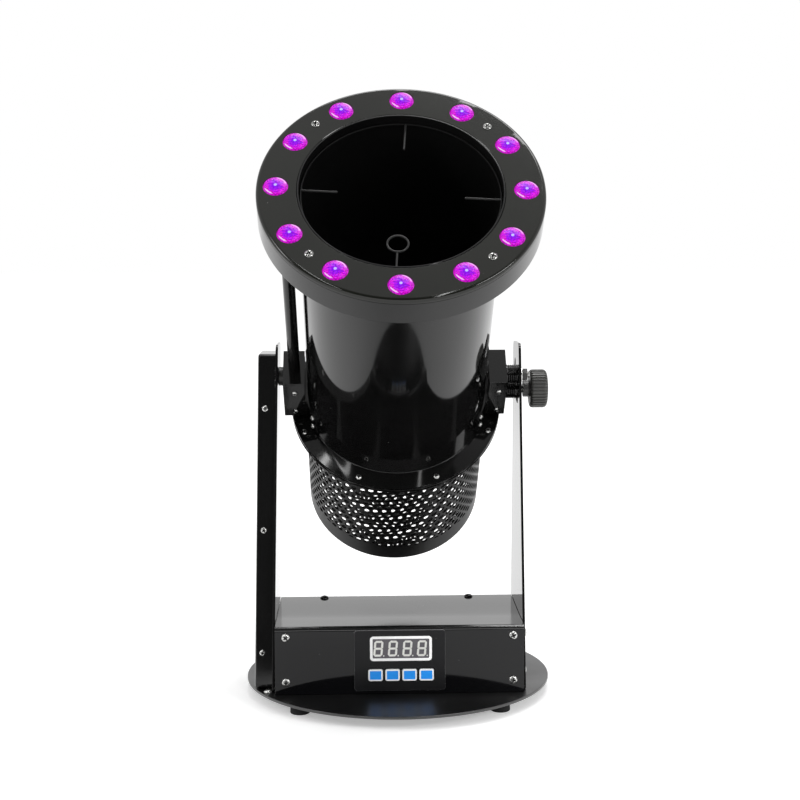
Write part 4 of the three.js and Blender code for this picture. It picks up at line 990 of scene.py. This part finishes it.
hoop_radius = guard_high.x - wire
rod_length, short_rod_length, eye_radius, eye_place = 28.5, 18.6, 9, 50
wire_black = coated("wire_black_coat", ink(30, 30, 30), 0.35, 0.002, 0.8,
                    settings={"Specular IOR Level": 0.25})
guard = [ring_of_wire("hoop", hoop_radius, wire, guard_level)]
guard[0].data.materials.append(inner_black)
for step in range(4):
    spoke = rod("spoke", wire * 0.96, 0, short_rod_length if step == 3 else rod_length, sides=16)
    spoke.data.materials.append(wire_black)
    soften(spoke, 0.4)
    on_the_hoop = turn(90 * step - 4, "Z") @ at(hoop_radius, 0, guard_level) @ turn(-90, "Y")
    guard.append(set_down(spoke, on_the_hoop))
eye = ring_of_wire("eye", eye_radius - wire, wire * 0.96, 0, sides=40)
eye.data.materials.append(wire_black)
guard.append(set_down(eye, turn(266, "Z") @ at(eye_place, 0, guard_level)))
in_place(joined(guard), "wire_guard", None, "bright_steel", "mouth_guard")


# Confetti screen.
# Woven wire soldered into a short ring of sheet, dull black, on which the paper lies over the
# fan until it is blown out.
screen_low, screen_high = barrel_box("confetti_screen")
screen_radius, ring_inside = screen_high.x, screen_high.x - 1.0
wires, wire_thickness = 60, 0.7
screen_ring = turned("screen_ring", sleeve(ring_inside, screen_radius, screen_low.z, screen_high.z))
soften(screen_ring, 0.2, segments=1)
alone()
bpy.ops.mesh.primitive_grid_add(x_subdivisions=wires, y_subdivisions=wires, size=2 * screen_radius * mm,
                                location=(0, 0, (screen_low.z + 1.2) * mm))
weave = bpy.context.object
weave.name = "weave"
set_down(weave)
pick(weave, "FACE", lambda middle, normal: Vector((middle.x, middle.y)).length > screen_radius - 2.4)
bpy.ops.mesh.delete(type="FACE")
modified(weave, "WIREFRAME", thickness=wire_thickness * mm, use_replace=True)
in_place(joined([screen_ring, weave]), "woven_screen", inner_black, "satin_black_metal", "confetti_screen")


# Air cage.
# Perforated sheet rolled round the motor, its holes in staggered rows that wind round it, with a
# plain band at its end and a rim that the flange's screws hold. Satin black.
cage_low, cage_high = barrel_box("air_cage")
cage_radius, cage_wall, rim_thickness, band = 82.7, 1.2, 1.5, 21.0
hole_columns, hole_rows, hole_radius, winds = 64, 17, 3.0, 9
column = 2 * math.pi * cage_radius / hole_columns
pierced_top = cage_high.z - rim_thickness
pierced_bottom = cage_low.z + band
row = (pierced_top - pierced_bottom) / hole_rows

alone()
bpy.ops.mesh.primitive_grid_add(x_subdivisions=4, y_subdivisions=2, size=1)
sheet = bpy.context.object
sheet.name = "pierced_sheet"
sheet.scale = (column * mm, row * mm, 1)
opened(set_down(sheet))
bpy.ops.mesh.inset(thickness=0.5 * mm)
bpy.ops.transform.tosphere(value=1)
bpy.ops.mesh.delete(type="FACE")
alone()
for corner in sheet.data.vertices:
    if corner.co.length < min(column, row) / 2 * mm * 0.98:
        corner.co = corner.co.normalized() * hole_radius * mm
row_pairs = hole_rows // 2 + 2 + winds
for count, right, up in ((2, column / 2, row), (row_pairs, 0, 2 * row), (hole_columns, column, 0)):
    modified(sheet, "ARRAY", count=count, use_relative_offset=False, use_constant_offset=True,
             constant_offset_displace=(right * mm, up * mm, 0))
climb = 2 * row * winds / (column * hole_columns)
lowest = pierced_bottom - row - 2 * row * winds
for corner in sheet.data.vertices:
    way = corner.co.x / mm / cage_radius
    rise = lowest + corner.co.y / mm + climb * corner.co.x / mm
    corner.co = Vector((math.cos(way) * cage_radius, math.sin(way) * cage_radius, rise)) * mm
opened(sheet)
bpy.ops.mesh.remove_doubles(threshold=0.05 * mm)
for level, way in ((pierced_top + 0.2, 1), (pierced_bottom, -1)):
    all_of_it()
    bpy.ops.mesh.bisect(plane_co=(0, 0, level * mm), plane_no=(0, 0, way), clear_outer=True)
all_of_it()
bpy.ops.mesh.normals_make_consistent(inside=False)
modified(sheet, "SOLIDIFY", thickness=cage_wall * mm, offset=-1)
evenly_shaded(sheet)

inside = cage_radius - cage_wall
cage_band = turned("cage_band", sleeve(inside, cage_radius, cage_low.z, pierced_bottom + row * 0.02),
                   sides=128)
soften(cage_band, 0.3)
cage_rim = turned("cage_rim", [
    (inside, pierced_top), (cage_radius, pierced_top), (flange_radius, pierced_top),
    (flange_radius, cage_high.z), (inside, cage_high.z), (inside, pierced_top)], sides=128)
soften(cage_rim, 0.3)
cage_black = coated("cage_black_coat", ink(8, 8, 8), 0.34, 0.002, 1.6, smudge=0.06,
                    settings={"Specular IOR Level": 0.1})
in_place(joined([sheet, cage_band, cage_rim]), "pierced_cage", cage_black, "satin_black_metal", "air_cage")


# Cage end plate.
# A disc of perforated sheet that closes the fan end of the cage, spot welded inside the plain
# band. Its round holes stand in staggered rows.
plate_low, plate_high = barrel_box("cage_end_plate")
end_plate = rod("end_plate", plate_high.x, plate_low.z, plate_high.z, sides=96)
punches = []
punch_radius, spacing, plain_edge = 3.0, 9.0, 5
pattern = rod("punch", punch_radius, plate_low.z - 2, plate_high.z + 2, sides=12)
for across in range(-8, 9):
    for along in range(-9, 10):
        x = (across + 0.5 * (along % 2)) * spacing
        y = along * spacing * math.sqrt(3) / 2
        if math.hypot(x, y) < plate_high.x - plain_edge:
            punches.append(copied(pattern, "punch", at(x, y, 0)))
bpy.data.objects.remove(pattern)
cut_out(end_plate, punches)
smooth_up_to(35, end_plate)
in_place(end_plate, "pierced_end_plate", satin_black, "satin_black_metal", "cage_end_plate")


# Mains inlet.
# A moulded plastic socket through the rear wall, its flange held by two screws, with three plated
# blades in its recess.
plastic_black = coated("moulded_black", ink(20, 20, 21), 0.26, 0.003, 0.7, smudge=0.12)
inlet_low, inlet_high = box_of("mains_inlet")
inlet_middle = (inlet_low + inlet_high) / 2
rear = inlet_high.y


def through_wall(name, half, rise, near, far, corner, segments, wanted=lambda middle: True):
    """A block on the inlet's middle with its front-to-back edges cut off or rounded."""
    piece = block(name, (inlet_middle.x - half, near, inlet_middle.z - rise),
                  (inlet_middle.x + half, far, inlet_middle.z + rise))
    cornered(piece, corner, segments, wanted=wanted)
    alone()
    return piece


def lower(middle):
    return middle.z < inlet_middle.z


inlet_parts = [through_wall("inlet_flange", 24, 12, rear - 2, rear, 5, 6),
               through_wall("inlet_body", 13.5, 10, inlet_low.y, rear - 1, 3.5, 1, lower)]
for part in inlet_parts:
    cut_out(part, [through_wall("cut", 11.5, 8, rear - 14, rear + 3, 4, 1, lower)])
    soften(part, 0.3)
fitted(joined(inlet_parts), "inlet_socket", plastic_black, "base", "black_plastic", "mains_inlet")

blades = []
for sideways, above in ((-7, -1), (0, 1), (7, -1)):
    x, z = inlet_middle.x + sideways, inlet_middle.z + above
    blade = block("blade", (x - 1, rear - 15, z - 2), (x + 1, rear - 2, z + 2))
    blades.append(soften(blade, 0.4))
fitted(joined(blades), "inlet_blades", steel, "base", "bright_steel")
screws("inlet_screws", pan_screw(2.8, 1.3),
       [at(inlet_middle.x + side * 18.8, rear, inlet_middle.z) @ turn(-90, "X") for side in (-1, 1)])


# Data sockets.
# A plated round shell on a square flange with two screws, moulded plastic inside. The incoming one
# has three pins, the outgoing one three sleeves in an insert.
flange_side, shell_radius, shell_bore, shell_floor, contact_circle = 13, 11, 8.5, -12, 4.8
for node, has_pins in (("data_socket_in", True), ("data_socket_out", False)):
    low, high = box_of(node)
    middle, back = (low + high) / 2, low.y - high.y
    outwards = at(middle.x, high.y, middle.z) @ turn(-90, "X")
    square = block("square", (-flange_side, -flange_side, -2), (flange_side, flange_side, 0))
    cornered(square, 3.5, 6, axis=up_and_down)
    cut_out(square, [rod("cut", shell_radius - 0.5, -5, 5)])
    shell = turned("shell", [(0, back), (shell_radius, back), (shell_radius, -0.6), (10.4, 0), (8.9, 0),
                             (shell_bore, -0.4), (shell_bore, shell_floor), (0, shell_floor)], sides=64)
    for part in (square, shell):
        soften(part, 0.25)
    socket = set_down(joined([shell, square]), outwards)
    fitted(socket, node.replace("data", "round"), steel, "base", "bright_steel", node)
    contacts = [at(contact_circle * math.cos(way), contact_circle * math.sin(way), 0)
                for way in map(math.radians, (90, 210, 330))]
    if has_pins:
        insert = rod("insert", 8.3, -13, -11)
        pins = [soften(set_down(rod("pin", 1.2, -12, -2, sides=16), place), 0.4) for place in contacts]
        fitted(set_down(joined(pins), outwards), "socket_pins", steel, "base", "bright_steel")
    else:
        insert = rod("insert", 7.0, -13, -2)
        cut_out(insert, [set_down(rod("cut", 1.5, -8, 1, sides=16), place) for place in contacts])
    soften(insert, 0.3)
    fitted(set_down(insert, outwards), node + "_insert", plastic_black, "base", "black_plastic")
    screws(node + "_screws", pan_screw(1.9, 1.0),
           [outwards @ at(side * 10.2, side * 10.2, 0) for side in (-1, 1)])


# Works inside.
# Bought and pressed parts that stand behind the shell: spider, motor, fan, power supply, boards,
# display block and leads. Their solids show them, and each gets the finish of the real part.
aluminium = coated("bare_aluminium", ink(176, 178, 180), 0.32, 0.004, 0.8, smudge=0.14,
                   settings={"Metallic": 1.0})
moulded_grey = coated("moulded_fan", ink(30, 30, 32), 0.36, 0.004, 0.8)

circuit, paint = new_finish("circuit_board")
place = paint.node("TexCoord", output="Object")
tracks = paint.cells(place, 260.0, "DISTANCE_TO_EDGE")
tracked = paint.mixed(tracks < 0.06, ink(12, 74, 40), ink(30, 112, 60))
dotted = paint.mixed(paint.cells(place, 190.0) < 0.16, tracked, ink(196, 196, 190))
skin(paint, {"Base Color": dotted, "Roughness": 0.34 + tracks * 0.3, "Normal": paint.bumps(tracks, 0.05)})

for node, finish in (("motor_spider", satin_black), ("fan_motor", aluminium), ("fan_shaft", steel),
                     ("fan_impeller", moulded_grey), ("power_supply", aluminium), ("driver_board", circuit),
                     ("display_board", circuit), ("lamp_board", circuit), ("digit_display", plastic_black),
                     ("arm_lead", rubber), ("bush_lock_ring", steel)):
    nodes[node].data.materials.clear()
    nodes[node].data.materials.append(finish)
